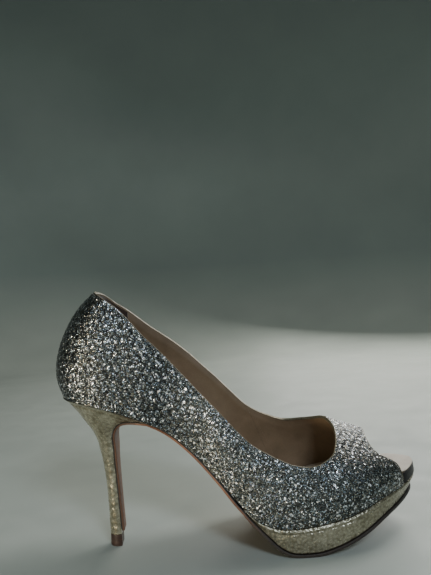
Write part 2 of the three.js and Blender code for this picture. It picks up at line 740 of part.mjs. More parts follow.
// Half of the heel's outline at u, from its front corner to its back, drawn in by inset.
function heelSide(u, side, inset) {
  const front = breastX(u) - clearance;
  const back = backX(u) + inset;
  const widest = mix(front, back, 0.32);
  const half = heelHalf(u) - inset;
  const cheek = spread(0, 1, 3).slice(0, -1).map((t) => [
    mix(front, widest, t),
    half * mix(cornerShare, 1, Math.sin((t * Math.PI) / 2)),
  ]);
  const round = spread(0, 1, 6).map((t) => {
    const a = (t * Math.PI) / 2;
    return [mix(widest, back, Math.sin(a)), half * Math.cos(a)];
  });
  return [...cheek, ...round].map(([x, y]) => ({ x, y: side * y }));
}
const heelLevels = [0, 0.2, 0.4, 0.55, 0.66, 0.75, 0.82, 0.87, 0.91, 0.945, 0.975, 1];
// The heel's side as a grid of points, [place round it][level].
function heelGrid(sides, inset, levels, zAt) {
  const rings = levels.map((u) => {
    const [outer, inner] = [-1, 1].map((side) => heelSide(u, side, inset));
    const ring = sides === "both" ? [...outer, ...inner.slice(0, -1).reverse()] : sides < 0 ? outer : inner;
    return ring.map(({ x, y }) => new THREE.Vector3(x, y, zAt(u, x)));
  });
  return rings[0].map((_, j) => rings.map((ring) => ring[j]));
}
const blockInset = coverThickness + clearance;
const stemTilt = (() => {
  const centre = (u) => (breastX(u) + backX(u)) / 2;
  const [low, high] = [0.02, 0.5];
  const [zLow, zHigh] = [low, high].map((u) => heelZ(u, 0));
  return { x: centre(low), z: zLow, angle: Math.atan2(centre(high) - centre(low), zHigh - zLow) };
})();
// The frame of the stem's axis, with its origin a height above the top piece's upper face.
function stemPlace(height) {
  const x = stemTilt.x + Math.tan(stemTilt.angle) * (stemBase + height - stemTilt.z);
  return new THREE.Matrix4().makeRotationY(stemTilt.angle).setPosition(x, 0, stemBase + height);
}
function rod(radius, length) {
  return new THREE.CylinderGeometry(radius, radius, length, roundSides).rotateX(Math.PI / 2);
}
const tubeRadius = tubeDiameter / 2;
const tubeBore = tubeRadius - tubeWall;
const tubeStart = 0.8;
const tubeMiddle = stemPlace(tubeStart + tubeLength / 2);
const boreLength = tubeLength + 2 * tubeStart + 4;
const tubeHole = toSolid(
  rod(tubeRadius + clearance, boreLength),
  stemPlace(tubeStart + tubeLength + clearance - boreLength / 2),
);
const heelBlock = sheet(
  heelGrid(-1, blockInset, heelLevels, heelZ),
  heelGrid(1, blockInset, heelLevels, heelZ),
);
add("heel_block", cutBy(heelBlock, [tubeHole, ...seatHoles]), finishes.plastic);
add(
  "heel_cover",
  sheet(heelGrid("both", 0, heelLevels, heelZ), heelGrid("both", coverThickness, heelLevels, heelZ)),
  finishes.goldLeather,
);
const tubeSection = [
  [tubeBore, -tubeLength / 2], [tubeRadius, -tubeLength / 2], [tubeRadius, tubeLength / 2],
  [tubeBore, tubeLength / 2], [tubeBore, -tubeLength / 2],
].map(([r, z]) => new THREE.Vector2(r, z));
add("heel_tube", new THREE.LatheGeometry(tubeSection, roundSides).rotateX(Math.PI / 2), finishes.steel)
  .applyMatrix4(tubeMiddle);
const dowelRadius = tubeBore - clearance;
const dowelSink = topPieceHeight - 2.2; // how deep the dowel is moulded into the top piece
const dowelMiddle = stemPlace(dowelLength / 2 - dowelSink);
add("top_piece_dowel", rod(dowelRadius, dowelLength), finishes.steel).applyMatrix4(dowelMiddle);
const dowelHole = toSolid(rod(dowelRadius + clearance, dowelLength + 2 * clearance), dowelMiddle);
const topPieceLevels = [0, 0.1, 1];
const topPieceZ = (u) => u * topPieceHeight;
function topPieceGrid(side) {
  const rings = topPieceLevels.map((u) => {
    return heelSide(0, side, u === 0 ? 0.4 : 0).map(({ x, y }) => new THREE.Vector3(x, y, topPieceZ(u)));
  });
  return rings[0].map((_, j) => rings.map((ring) => ring[j]));
}
add("top_piece", cutBy(sheet(topPieceGrid(-1), topPieceGrid(1)), [dowelHole]), finishes.topPiece);

// ---- outsole ----------------------------------------------------------------------------------
// One leather piece from the toe, along the waist and down the front of the heel.
const waistEdge = through([[23, -2.6], [34, -1.5], [46, -0.3], [60, 0.3], [72.5, 0.5]]);
const tongueEnd = 0.024; // the tongue stops just above the top piece, as a share of the heel
function outsole() {
  const tongue = [tongueEnd, ...heelLevels.filter((u) => u > 0.1 && u < 0.99)].map((u) => {
    const half = heelHalf(u) * cornerShare;
    return { x: breastX(u), z: heelZ(u, breastX(u)), ys: [-half, half], thick: flapThickness };
  });
  const tread = stationsBetween(station(23), toeTip).map((x) => {
    const onWaist = x < platformRear;
    const edge = onWaist ? waistEdge(drawnAt(x)) : ledge(x) + 0.5 - wallDraw(x);
    const at = drawnIn(x, 1, -edge);
    const sink = (rearEdge + clearance) * smooth(station(60), platformRear, x);
    return {
      x: at.x,
      z: onWaist ? seatFace(x) - sink : underside(at.x) - clearance,
      ys: [drawnIn(x, -1, -edge).y, at.y],
      thick: mix(waistThickness, outsoleThickness, smooth(station(60), treadFlat[0], x)),
    };
  });
  const lines = [...tongue, ...tread];
  const middles = lines.map((line) => new THREE.Vector2(line.x, line.z));
  const face = (share) =>
    lines.map((line, i) => {
      const before = middles[Math.max(0, i - 1)];
      const after = middles[Math.min(lines.length - 1, i + 1)];
      const along = after.clone().sub(before).normalize();
      const level = line.x > treadFlat[0] - 0.01 && line.x < treadFlat[1] + 0.01;
      const down = level ? new THREE.Vector2(0, -1) : new THREE.Vector2(along.y, -along.x);
      const at = middles[i].clone().addScaledVector(down, line.thick * share);
      return line.ys.map((y) => new THREE.Vector3(at.x, y, at.y));
    });
  return sheet(face(0), face(1));
}
add("outsole", outsole(), finishes.soleLeather);

// ---- the part's frame: middle of the shoe, on the ground --------------------------------------
const bounds = new THREE.Box3().setFromObject(shoe, true);
const middle = bounds.getCenter(new THREE.Vector3());
shoe.position.set(-middle.x, -middle.y, -bounds.min.z);

export default shoe;
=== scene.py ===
import math

import bmesh
import bpy
import numpy as np
from mathutils import Matrix, Vector, noise


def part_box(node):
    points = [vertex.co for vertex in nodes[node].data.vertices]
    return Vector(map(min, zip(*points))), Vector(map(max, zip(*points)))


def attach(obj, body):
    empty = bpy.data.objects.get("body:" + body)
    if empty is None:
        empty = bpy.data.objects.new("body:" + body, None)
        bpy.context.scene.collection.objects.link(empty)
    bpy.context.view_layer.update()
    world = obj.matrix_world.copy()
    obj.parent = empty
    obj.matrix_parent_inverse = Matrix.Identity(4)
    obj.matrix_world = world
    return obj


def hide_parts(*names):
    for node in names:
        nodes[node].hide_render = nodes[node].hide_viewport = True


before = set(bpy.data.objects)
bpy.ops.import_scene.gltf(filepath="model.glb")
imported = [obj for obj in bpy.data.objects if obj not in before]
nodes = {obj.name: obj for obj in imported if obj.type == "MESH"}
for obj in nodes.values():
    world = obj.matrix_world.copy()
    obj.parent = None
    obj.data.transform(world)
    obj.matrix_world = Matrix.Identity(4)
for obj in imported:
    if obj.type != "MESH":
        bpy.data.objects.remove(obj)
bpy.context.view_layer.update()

# the last: every leather piece is shaped on it, in millimetres, heel's middle line at x = 0
last = {
    "seatBack": -26.0,
    "seatFront": 5.0,
    "ball": 100.0,
    "toeStart": 122.0,
    "toeTip": 179.5,
    "end": 170.0,
    "capShare": 0.23,
    "toeOffset": 4.0,
    "heelHeight": 88.6,
    "platformLift": 15.2,
    "toeSpring": 13.8,
    "topPieceBack": -4.3,
}

topPieceLow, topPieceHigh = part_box("top_piece")
shift = np.array([
    topPieceLow.x - last["topPieceBack"] / 1000,
    (topPieceLow.y + topPieceHigh.y) / 2,
    topPieceLow.z,
])


gap = 0.3  # left between one layer of the bottom and the next


def inFrame(points):
    return np.asarray(points, float) / 1000 + shift


def through(points):
    # a smooth line through the points, straight past its ends
    xs, ys = np.array(points, float).T
    steps = np.diff(xs)
    rises = np.diff(ys) / steps
    between = (rises[:-1] * steps[1:] + rises[1:] * steps[:-1]) / (steps[:-1] + steps[1:])
    slopes = np.concatenate([rises[:1], between, rises[-1:]])

    def at(x):
        x = np.asarray(x, float)
        i = np.clip(np.searchsorted(xs, x) - 1, 0, len(xs) - 2)
        h = steps[i]
        t = np.clip((x - xs[i]) / h, 0, 1)
        bent = t * (1 - t) * h * mix(slopes[i], -slopes[i + 1], t)
        inside = mix(ys[i], ys[i + 1], t * t * (3 - 2 * t)) + bent
        return inside + np.minimum(x - xs[0], 0) * slopes[0] + np.maximum(x - xs[-1], 0) * slopes[-1]

    return at


def mix(a, b, t):
    return a + (b - a) * t


def smooth(low, high, x):
    t = np.clip((np.asarray(x, float) - low) / (high - low), 0, 1)
    return t * t * (3 - 2 * t)


def roundOver(away, reach):
    # rises on a quarter circle, from 0 at an edge to 1 at reach from it
    return np.sqrt(1 - (1 - np.clip(away / reach, 0, 1)) ** 2)


def ridge(away, width):
    return np.exp(-((away / width) ** 2))


def unit(vectors):
    return vectors / np.maximum(np.linalg.norm(vectors, axis=-1, keepdims=True), 1e-9)


def quarterTurn(count):
    return np.linspace(0, math.pi / 2, count)


def stacked(*numbers):
    return np.stack(np.broadcast_arrays(*numbers), -1)


def addObject(name, data):
    made = bpy.data.objects.new(name, data)
    bpy.context.scene.collection.objects.link(made)
    return made


archFall = through([
    [0, 0], [0.08, 0.008], [0.16, 0.062], [0.22, 0.157], [0.307, 0.335], [0.417, 0.554],
    [0.528, 0.721], [0.63, 0.817], [0.748, 0.904], [0.866, 0.964], [1, 1],
])
toeRise = through([[0, 0], [0.185, 0.109], [0.432, 0.39], [0.64, 0.73], [0.82, 0.89], [1, 1]])
outerHalf = through([
    [5, 26.8], [20, 26.2], [38, 24], [52, 25.4], [66, 30.6], [80, 35.5], [95, 38.6],
    [108, 39.6], [122, 39.2],
])
innerHalf = through([
    [5, 26.8], [20, 25.6], [38, 21.8], [52, 20.6], [66, 23.2], [80, 29], [95, 34.4],
    [108, 37.6], [122, 38.6],
])
wallHeight = through([
    [-27, 90], [10, 88], [30, 84], [50, 82], [70, 80], [90, 71], [110, 55], [132, 41.4],
    [151.6, 28.6], [165, 20.4], [181, 11],
])
crestShift = through([[-27, 0], [10, 0], [50, 3], [90, 7], [120, 9], [151, 8], [165, 6], [181, 4]])
outerBulge = through([
    [-27, 0.1], [5, 0.1], [30, 0.22], [50, 0.22], [75, 0.08], [100, 0.06], [130, 0.08], [165, 0.1],
])
innerBulge = through([
    [-27, 0.1], [5, 0.1], [30, 0.3], [50, 0.42], [75, 0.25], [100, 0.12], [130, 0.1], [165, 0.1],
])
backCurve = through([
    [0, -26], [8, -29.1], [16, -29.6], [28, -27.2], [40, -22.2], [52, -14.8], [62.5, -5.6],
])


def floorZ(x):
    # height of the last's bottom edge, where the upper turns in
    x = np.asarray(x, float)
    lift, ball = last["platformLift"], last["ball"]
    waist = archFall((ball - x) / (ball - last["seatBack"] + 1))
    toe = toeRise((x - ball) / (last["toeTip"] - ball))
    return lift + np.where(x < ball, (last["heelHeight"] - lift) * waist, last["toeSpring"] * toe)


def floorPoint(x, height):
    # a point above the last's bottom, square to it: its x and z
    slope = floorZ(x + 0.5) - floorZ(x - 0.5)
    n = np.hypot(1, slope)
    return x - height * slope / n, floorZ(x) + height / n


def aboveFloor(x, y, height):
    px, pz = floorPoint(x, height)
    return stacked(px, y, pz)


def outline(x, side, inset=0.0):
    # half width of the last's bottom; side is -1 outside and +1 inside
    front, back, start = last["seatFront"], last["seatBack"], last["toeStart"]

    def half(at):
        return np.where(side < 0, outerHalf(at), innerHalf(at)) - inset

    seat = half(front) * np.sqrt(np.maximum(0, 1 - ((front - x) / (front - back - inset)) ** 2))
    r = np.clip((x - start) / (last["toeTip"] - inset - start), 0, 1)
    centre = side * last["toeOffset"]
    toe = (half(start) - centre) * (1 - r**1.7) ** 0.62 + centre
    return np.where(x < front, seat, np.where(x <= start, half(x), toe))


def drawnIn(x, side, inset):
    # a place on the outline drawn in by inset, which keeps its share of the seat's or toe's round
    front, back = last["seatFront"], last["seatBack"]
    start, tip = last["toeStart"], last["toeTip"]
    atToe = mix(start, tip - inset, (x - start) / (tip - start))
    atSeat = mix(front, back + inset, (x - front) / (back - front))
    at = np.where(x > start, atToe, np.where(x < front, atSeat, x))
    return at, side * outline(at, side, inset)


def lastPoint(q, v):
    # q runs from the centre back to the toe, v from the outer bottom edge over the crest
    side = np.where(v < 0, -1.0, 1.0)
    phi = (1 - np.abs(v)) * math.pi / 2
    front, cap = last["seatFront"], last["capShare"]
    onCap = q < cap
    theta = np.clip(q / cap, 0, 1) * math.pi / 2
    xs = np.where(onCap, front, mix(front, last["end"], (q - cap) / (1 - cap)))
    rise = wallHeight(xs) * np.sin(phi)
    back = last["seatBack"] + backCurve(rise) - backCurve(0)
    x = np.where(onCap, front - (front - back) * np.cos(theta), xs)
    centre = crestShift(xs)
    bulge = np.where(side < 0, outerBulge(xs), innerBulge(xs))
    half = outline(xs, side) - side * centre
    y = centre + side * half * (np.cos(phi) + bulge * np.sin(2 * phi) * np.cos(phi))
    y = np.where(onCap, y * np.sin(theta), y)
    return stacked(x, y, floorZ(x) + rise)


def skinNormal(q, v):
    step = 1e-3
    alongQ = lastPoint(np.minimum(q + step, 1), v) - lastPoint(np.maximum(q - step, 0), v)
    alongV = lastPoint(q, np.minimum(v + step, 1)) - lastPoint(q, np.maximum(v - step, -1))
    return unit(np.cross(alongQ, alongV))


def skinPoint(q, v, depth):
    # a point that lies a depth under the face of the upper
    return lastPoint(q, v) - skinNormal(q, v) * np.asarray(depth, float)[..., None]


# places on the last, from the centre back round the outer side: the topline, then the outer edge
toplineAndEdge = np.array([
    [0, -0.486, 0, -1], [0.12, -0.495, 0.115, -1], [0.243, -0.53, 0.23, -1], [0.33, -0.622, 0.34, -1],
    [0.43, -0.678, 0.46, -1], [0.53, -0.665, 0.58, -1], [0.61, -0.651, 0.69, -1],
    [0.68, -0.655, 0.79, -1], [0.735, -0.623, 0.89, -1], [0.778, -0.54, 0.976, -1],
    [0.797, -0.44, 0.962, -0.63], [0.81, -0.3, 0.91, -0.475], [0.815, -0.16, 0.897, -0.31],
    [0.81, 0, 0.909, -0.05], [0.803, 0.13, 0.912, 0.2], [0.782, 0.27, 0.93, 0.53],
    [0.75, 0.36, 0.96, 1], [0.7, 0.46, 0.87, 1], [0.63, 0.503, 0.75, 1], [0.55, 0.51, 0.62, 1],
    [0.45, 0.558, 0.49, 1], [0.34, 0.582, 0.35, 1], [0.238, 0.537, 0.23, 1], [0.115, 0.495, 0.115, 1],
    [0, 0.486, 0, 1],
]).reshape(-1, 2, 2)
outerCorner = 9  # where the peep edge meets the bottom edge, as places in that list
innerCorner = 16
loopEnd = len(toplineAndEdge) - 1


def splineOf(points):
    end = len(points) - 1

    def at(place):
        i = np.clip(np.floor(place).astype(int), 0, end - 1)
        w = (place - i)[..., None]
        p0, p1 = points[np.maximum(i - 1, 0)], points[i]
        p2, p3 = points[i + 1], points[np.minimum(i + 2, end)]
        v0, v1 = (p2 - p0) / 2, (p3 - p1) / 2
        return (2 * p1 - 2 * p2 + v0 + v1) * w**3 + (3 * p2 - 3 * p1 - 2 * v0 - v1) * w**2 + v0 * w + p1

    return at


toplineAt = splineOf(toplineAndEdge[:, 0])
edgeSpans = [(0, outerCorner), (outerCorner, innerCorner), (innerCorner, loopEnd)]
edgeSplines = [splineOf(toplineAndEdge[a:b + 1, 1]) for a, b in edgeSpans]


def edgeAt(s):
    found = np.zeros(s.shape + (2,))
    for (a, b), spline in zip(edgeSpans, edgeSplines):
        inside = (s >= a) & (s <= b)
        found[inside] = spline(s[inside] - a)
    return found


def across(s, t):
    # the place on the last at s round the loop and t from the topline to the outer edge
    s, t = np.broadcast_arrays(s, t)
    return mix(toplineAt(s), edgeAt(s), t[..., None])


def pointAt(s, t, depth):
    place = across(s, t)
    return skinPoint(place[..., 0], place[..., 1], depth)


def widthAt(s):
    return np.linalg.norm(pointAt(s, 0, 0) - pointAt(s, 1, 0), axis=-1)


def evenColumns(start, end, spacing):
    # places round the loop that lie about spacing apart on the leather
    s = np.linspace(start, end, 2000)
    steps = np.mean([np.linalg.norm(np.diff(pointAt(s, t, 0), axis=0), axis=-1) for t in (0.1, 0.9)], 0)
    run = np.concatenate([[0], np.cumsum(steps)])
    return np.interp(np.linspace(0, run[-1], int(run[-1] / spacing) + 1), run, s)


def loopColumns(spacing):
    return evenColumns(0, loopEnd, spacing)[:-1]


def peepColumns(spacing):
    return evenColumns(outerCorner + 0.3, innerCorner - 0.2, spacing)


def loft(name, sections, ring=False, values=None, sharp=40):
    # a closed body through closed sections; values are numbers per point, kept as attributes
    sections = np.asarray(sections, float)
    count, around = sections.shape[:2]
    index = np.arange(count * around).reshape(count, around)
    nextColumn = np.roll(index, -1, 0) if ring else index[1:]
    here = index if ring else index[:-1]
    quads = stacked(here, nextColumn, np.roll(nextColumn, -1, 1), np.roll(here, -1, 1))
    faces = quads.reshape(-1, 4).tolist()
    if not ring:
        faces += [index[0][::-1].tolist(), index[-1].tolist()]
    mesh = bpy.data.meshes.new(name)
    mesh.from_pydata(inFrame(sections.reshape(-1, 3)).tolist(), [], faces)
    for key, numbers in (values or {}).items():
        layer = mesh.attributes.new(key, "FLOAT", "POINT")
        layer.data.foreach_set("value", np.asarray(numbers, np.float32).ravel())
    return finishMesh(name, mesh, sharp)


def finishMesh(name, mesh, sharp=40):
    work = bmesh.new()
    work.from_mesh(mesh)
    bmesh.ops.remove_doubles(work, verts=work.verts, dist=2e-6)
    bmesh.ops.dissolve_degenerate(work, edges=work.edges, dist=1e-6)
    ngons = [face for face in work.faces if len(face.verts) > 4]
    bmesh.ops.triangulate(work, faces=ngons)
    bmesh.ops.recalc_face_normals(work, faces=work.faces)
    work.to_mesh(mesh)
    work.free()
    mesh.shade_smooth()
    mesh.set_sharp_from_angle(angle=math.radians(sharp))
    return addObject(name, mesh)


def roundedLoop(low, high, roundness, count):
    # a rectangle with rounded corners, from one corner to the other
    angles = np.linspace(0, 2 * math.pi, count, endpoint=False)
    c, s = np.cos(angles), np.sin(angles)
    a = np.sign(c) * np.abs(c) ** roundness / 2 + 0.5
    b = np.sign(s) * np.abs(s) ** roundness / 2 + 0.5
    return mix(low[0], high[0], a), mix(low[1], high[1], b)


def hand(piece, slotName, finish, *replaced):
    piece.data.materials.clear()
    piece.data.materials.append(finishes[finish])
    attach(piece, "root")
    if replaced:
        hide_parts(*replaced)
    return piece


finishes = {}


class Nodes:
    # a node tree, and short ways to add to it
    def __init__(self, tree):
        self.tree = tree

    def plug(self, socket, value):
        if isinstance(value, bpy.types.NodeSocket):
            self.tree.links.new(value, socket)
        else:
            socket.default_value = (*value, 1) if socket.type == "RGBA" else value

    def add(self, kind, **values):
        # a name that starts with a capital is a socket, any other is a setting
        node = self.tree.nodes.new(kind)
        for key, value in values.items():
            if key[0].isupper():
                self.plug(node.inputs[key.replace("_", " ")], value)
            else:
                setattr(node, key, value)
        return node


class Finish(Nodes):
    # a material; its sizes are in millimetres
    def __init__(self, name, **sockets):
        finishes[name] = bpy.data.materials.new(name)
        finishes[name].use_nodes = True
        super().__init__(finishes[name].node_tree)
        self.shader = next(n for n in self.tree.nodes if n.type == "BSDF_PRINCIPLED")
        for socket, value in sockets.items():
            self.shader.inputs[socket.replace("_", " ")].default_value = value
        self.place = self.add("ShaderNodeTexCoord").outputs["Object"]

    def noise(self, size, detail=3.0, roughness=0.55, place=None):
        node = self.add("ShaderNodeTexNoise", Vector=place or self.place, Scale=1000 / size,
                        Detail=detail, Roughness=roughness)
        return node.outputs["Fac"]

    def cells(self, size, feature="F1"):
        node = self.add("ShaderNodeTexVoronoi", feature=feature, Vector=self.place, Scale=1000 / size)
        return node.outputs

    def stretched(self, x, y, z):
        return self.add("ShaderNodeMapping", Vector=self.place, Scale=(x, y, z)).outputs["Vector"]

    def parted(self, colour):
        return self.add("ShaderNodeSeparateColor", Color=colour).outputs

    def remap(self, value, low, high, toLow=0.0, toHigh=1.0):
        node = self.add("ShaderNodeMapRange", Value=value, From_Min=low, From_Max=high, To_Min=toLow,
                        To_Max=toHigh)
        return node.outputs["Result"]

    def ramp(self, value, *stops):
        node = self.add("ShaderNodeValToRGB", Fac=value)
        elements = node.color_ramp.elements
        while len(elements) < len(stops):
            elements.new(0.5)
        for element, (at, colour) in zip(elements, stops):
            element.position = at
            element.color = (*colour, 1)
        return node.outputs["Color"]

    def tones(self, value, low, high, start=0.3, end=0.7):
        return self.ramp(value, (start, low), (end, high))

    def blend(self, share, first, second, how="MIX"):
        node = self.add("ShaderNodeMix", data_type="RGBA", blend_type=how)
        for index, value in ((0, share), (6, first), (7, second)):
            self.plug(node.inputs[index], value)
        return node.outputs[2]

    def shaded(self, base, shade, share=1.0):
        return self.blend(share, base, shade, "MULTIPLY")

    def reckon(self, how, *values, kind="ShaderNodeMath"):
        node = self.add(kind, operation=how)
        for socket, value in zip(node.inputs, values):
            self.plug(socket, value)
        return node.outputs[0]

    def attribute(self, name):
        return self.add("ShaderNodeAttribute", attribute_name=name).outputs["Fac"]

    def colour(self, source):
        self.plug(self.shader.inputs["Base Color"], source)

    def roughness(self, value, low, high, start=0.3, end=0.7):
        self.plug(self.shader.inputs["Roughness"], self.remap(value, start, end, low, high))

    def bump(self, height, depth, strength=1.0, under=None):
        node = self.add("ShaderNodeBump", Height=height, Distance=depth / 1000, Strength=strength)
        if under:
            self.plug(node.inputs["Normal"], under)
        self.plug(self.shader.inputs["Normal"], node.outputs["Normal"])
        return node.outputs["Normal"]


glitter = {
    "flake": 0.42,
    "largeFlake": 0.9,
    "largeShare": 0.07,  # of the larger flakes, how many catch the light on their own
    "tilt": 0.33,  # every flake lies a little askew
    "groove": (0.010, 0.011, 0.013),
}
white = (1, 1, 1)


def glitterLeather():
    size = glitter
    f = Finish("glitterLeather", Metallic=0.94)
    flakes = f.cells(size["flake"])
    red, green, blue = f.parted(flakes["Color"])[:3]
    shine = f.ramp(
        red,
        (0.0, (0.012, 0.013, 0.014)), (0.3, (0.042, 0.046, 0.044)), (0.62, (0.1, 0.107, 0.1)),
        (0.85, (0.25, 0.26, 0.245)), (0.94, white),
    )
    tint = f.ramp(
        green,
        (0.0, (0.6, 0.78, 1.0)), (0.3, (0.88, 0.94, 1.0)), (0.6, (1.0, 0.99, 0.95)),
        (0.86, (1.0, 0.88, 0.66)), (1.0, (0.86, 0.78, 1.0)),
    )
    chance = f.parted(f.cells(size["largeFlake"])["Color"])[2]
    rest = 1 - size["largeShare"]
    glinting = f.blend(f.remap(chance, rest, rest + 0.02), f.shaded(shine, tint), (0.95, 0.97, 1.0))
    uneven = f.reckon("ADD", f.attribute("edge"), f.reckon("MULTIPLY", f.noise(1.1, 3), 1.1))
    groove = f.reckon("MULTIPLY", f.remap(uneven, 0.7, 1.2, 0.95, 0.0), f.attribute("strength"))
    f.colour(f.blend(groove, glinting, size["groove"]))
    f.roughness(blue, 0.1, 0.34, 0, 1)
    vector, tilt = "ShaderNodeVectorMath", size["tilt"]
    tilted = f.reckon("MULTIPLY_ADD", flakes["Color"], (2 * tilt,) * 3, (-tilt,) * 3, kind=vector)
    leaning = f.reckon("ADD", tilted, f.add("ShaderNodeNewGeometry").outputs["Normal"], kind=vector)
    rims = f.cells(size["flake"], "DISTANCE_TO_EDGE")["Distance"]
    f.bump(f.remap(rims, 0, 0.12), 0.05, 0.5, f.reckon("NORMALIZE", leaning, kind=vector))


def goldLeather(name, grain, depth, low, high):
    f = Finish(name, Metallic=0.85)
    pebbles = f.cells(grain, "SMOOTH_F1")["Distance"]
    fine = f.noise(0.35, 3)
    dusty = f.tones(fine, (0.7, 0.7, 0.7), white, 0.35)
    creases = f.tones(pebbles, white, (0.5, 0.48, 0.43), 0.1)
    f.colour(f.shaded(f.shaded(f.tones(f.noise(9, 4), low, high), dusty), creases))
    f.roughness(f.noise(2.2, 4), 0.2, 0.36)
    f.bump(fine, 0.04, 0.5, f.bump(pebbles, depth, 0.7))


def goldEdge():
    f = Finish("goldEdge", Metallic=0.45)
    fine = f.noise(0.5, 4)
    f.colour(f.tones(fine, (0.07, 0.06, 0.038), (0.27, 0.235, 0.155)))
    f.roughness(f.noise(1.6), 0.24, 0.5)
    f.bump(fine, 0.05, 0.6)


def paddedGrain(name, low, high, roughLow, roughHigh, grain=0.75, depth=0.05):
    # smooth dressed leather: fine pores, cloudy colour and faint creases
    f = Finish(name)
    pores = f.cells(grain, "SMOOTH_F1")["Distance"]
    f.colour(f.shaded(f.tones(f.noise(16, 5), low, high, 0.32, 0.68),
                      f.tones(pores, (0.9, 0.9, 0.9), white, 0.0, 0.55)))
    f.roughness(f.noise(3, 4), roughLow, roughHigh)
    f.bump(pores, depth, 0.6, f.bump(f.noise(5.5, 5, 0.6), 0.22, 0.35))


def darkSuede():
    f = Finish("darkSuede", Roughness=1.0, Sheen_Weight=0.5, Sheen_Roughness=0.5)
    nap = f.noise(0.3, 4, 0.7)
    clouds = f.tones(f.noise(7, 4), (0.030, 0.015, 0.010), (0.085, 0.045, 0.03))
    f.colour(f.shaded(clouds, f.tones(nap, (0.3, 0.3, 0.3), white), 0.75))
    f.bump(nap, 0.12, 0.8)


def blackEdge():
    f = Finish("blackEdge", Specular_IOR_Level=0.22)
    f.colour(f.tones(f.noise(4, 4), (0.006, 0.006, 0.008), (0.016, 0.014, 0.014)))
    f.roughness(f.noise(1.2, 4), 0.34, 0.52)
    f.bump(f.noise(2.4, 4), 0.04, 0.4)


def soleLeather():
    f = Finish("soleLeather")
    fibre = f.noise(0.7, 6, 0.65, f.stretched(0.35, 1.4, 1.0))
    scuffs = f.noise(2.6, 6, 0.75, f.stretched(1.0, 0.22, 1.0))
    base = f.tones(f.noise(22, 5), (0.205, 0.083, 0.042), (0.315, 0.145, 0.078))
    fibrous = f.shaded(base, f.tones(fibre, (0.72, 0.7, 0.68), white, 0.35, 0.65), 0.5)
    worn = f.shaded(fibrous, f.tones(scuffs, (0.5, 0.47, 0.44), white, 0.42, 0.56), 0.55)
    edgeDark = f.tones(f.noise(1.5, 4), (0.008, 0.007, 0.007), (0.03, 0.022, 0.018), 0.3, 0.75)
    f.colour(f.blend(f.attribute("edgeDark"), worn, edgeDark))
    f.roughness(scuffs, 0.42, 0.66)
    f.bump(f.reckon("ADD", fibre, scuffs), 0.08, 0.55)


def topPiecePlastic():
    f = Finish("topPiecePlastic")
    layers = f.noise(1.1, 4, 0.6, f.stretched(0.2, 0.2, 1.0))
    f.colour(f.tones(layers, (0.022, 0.011, 0.008), (0.06, 0.03, 0.02)))
    f.roughness(f.noise(0.8, 4), 0.36, 0.62)
    f.bump(f.reckon("ADD", layers, f.noise(0.4, 4)), 0.08, 0.5)


def brushedSteel():
    f = Finish("brushedSteel", Metallic=1.0)
    strokes = f.noise(0.6, 5, 0.6, f.stretched(0.08, 1.0, 1.0))
    f.colour(f.tones(strokes, (0.36, 0.37, 0.38), (0.58, 0.585, 0.59)))
    f.roughness(strokes, 0.24, 0.42)
    f.bump(strokes, 0.02, 0.5)


def fibrousBoard(name, low, high, depth):
    f = Finish(name, Roughness=0.9)
    fibres = f.noise(0.9, 6, 0.7, f.stretched(0.4, 1.0, 1.0))
    specks = f.tones(f.cells(0.8)["Distance"], (0.7, 0.68, 0.64), white, 0.05, 0.4)
    f.colour(f.shaded(f.tones(fibres, low, high), specks))
    f.bump(fibres, depth, 0.7)


def corkMaterial():
    f = Finish("cork", Roughness=0.92)
    tone = f.parted(f.cells(2.0)["Color"])[0]
    f.colour(f.ramp(tone, (0.0, (0.16, 0.08, 0.04)), (0.4, (0.38, 0.23, 0.12)), (1.0, (0.55, 0.37, 0.2))))
    f.bump(f.cells(2.0, "DISTANCE_TO_EDGE")["Distance"], 0.25, 0.7)


def foamMaterial():
    f = Finish("foam", Roughness=0.95)
    bubbles = f.cells(0.5)["Distance"]
    f.colour(f.tones(bubbles, (0.45, 0.38, 0.24), (0.75, 0.68, 0.5), 0.1, 0.6))
    f.bump(bubbles, 0.12, 0.8)


def mouldedPlastic():
    f = Finish("mouldedPlastic")
    f.colour(f.tones(f.noise(12, 4), (0.6, 0.57, 0.5), (0.74, 0.71, 0.64)))
    f.roughness(f.noise(0.9, 4), 0.38, 0.55)
    f.bump(f.noise(0.5), 0.03, 0.5)


def wovenTape():
    f = Finish("wovenTape", Roughness=0.9)
    warp, weft = (
        f.add("ShaderNodeTexWave", bands_direction=way, Vector=f.place, Scale=350.0, Distortion=0.4)
        for way in "XZ"
    )
    weave = f.reckon("MULTIPLY", warp.outputs["Fac"], weft.outputs["Fac"])
    f.colour(f.tones(weave, (0.42, 0.39, 0.33), (0.78, 0.74, 0.66), 0.0, 1.0))
    f.bump(weave, 0.08, 0.7)


def threadMaterial(name, low, high):
    f = Finish(name, Roughness=0.5)
    twist = f.noise(0.35)
    f.colour(f.tones(twist, low, high))
    f.bump(twist, 0.05, 0.6)


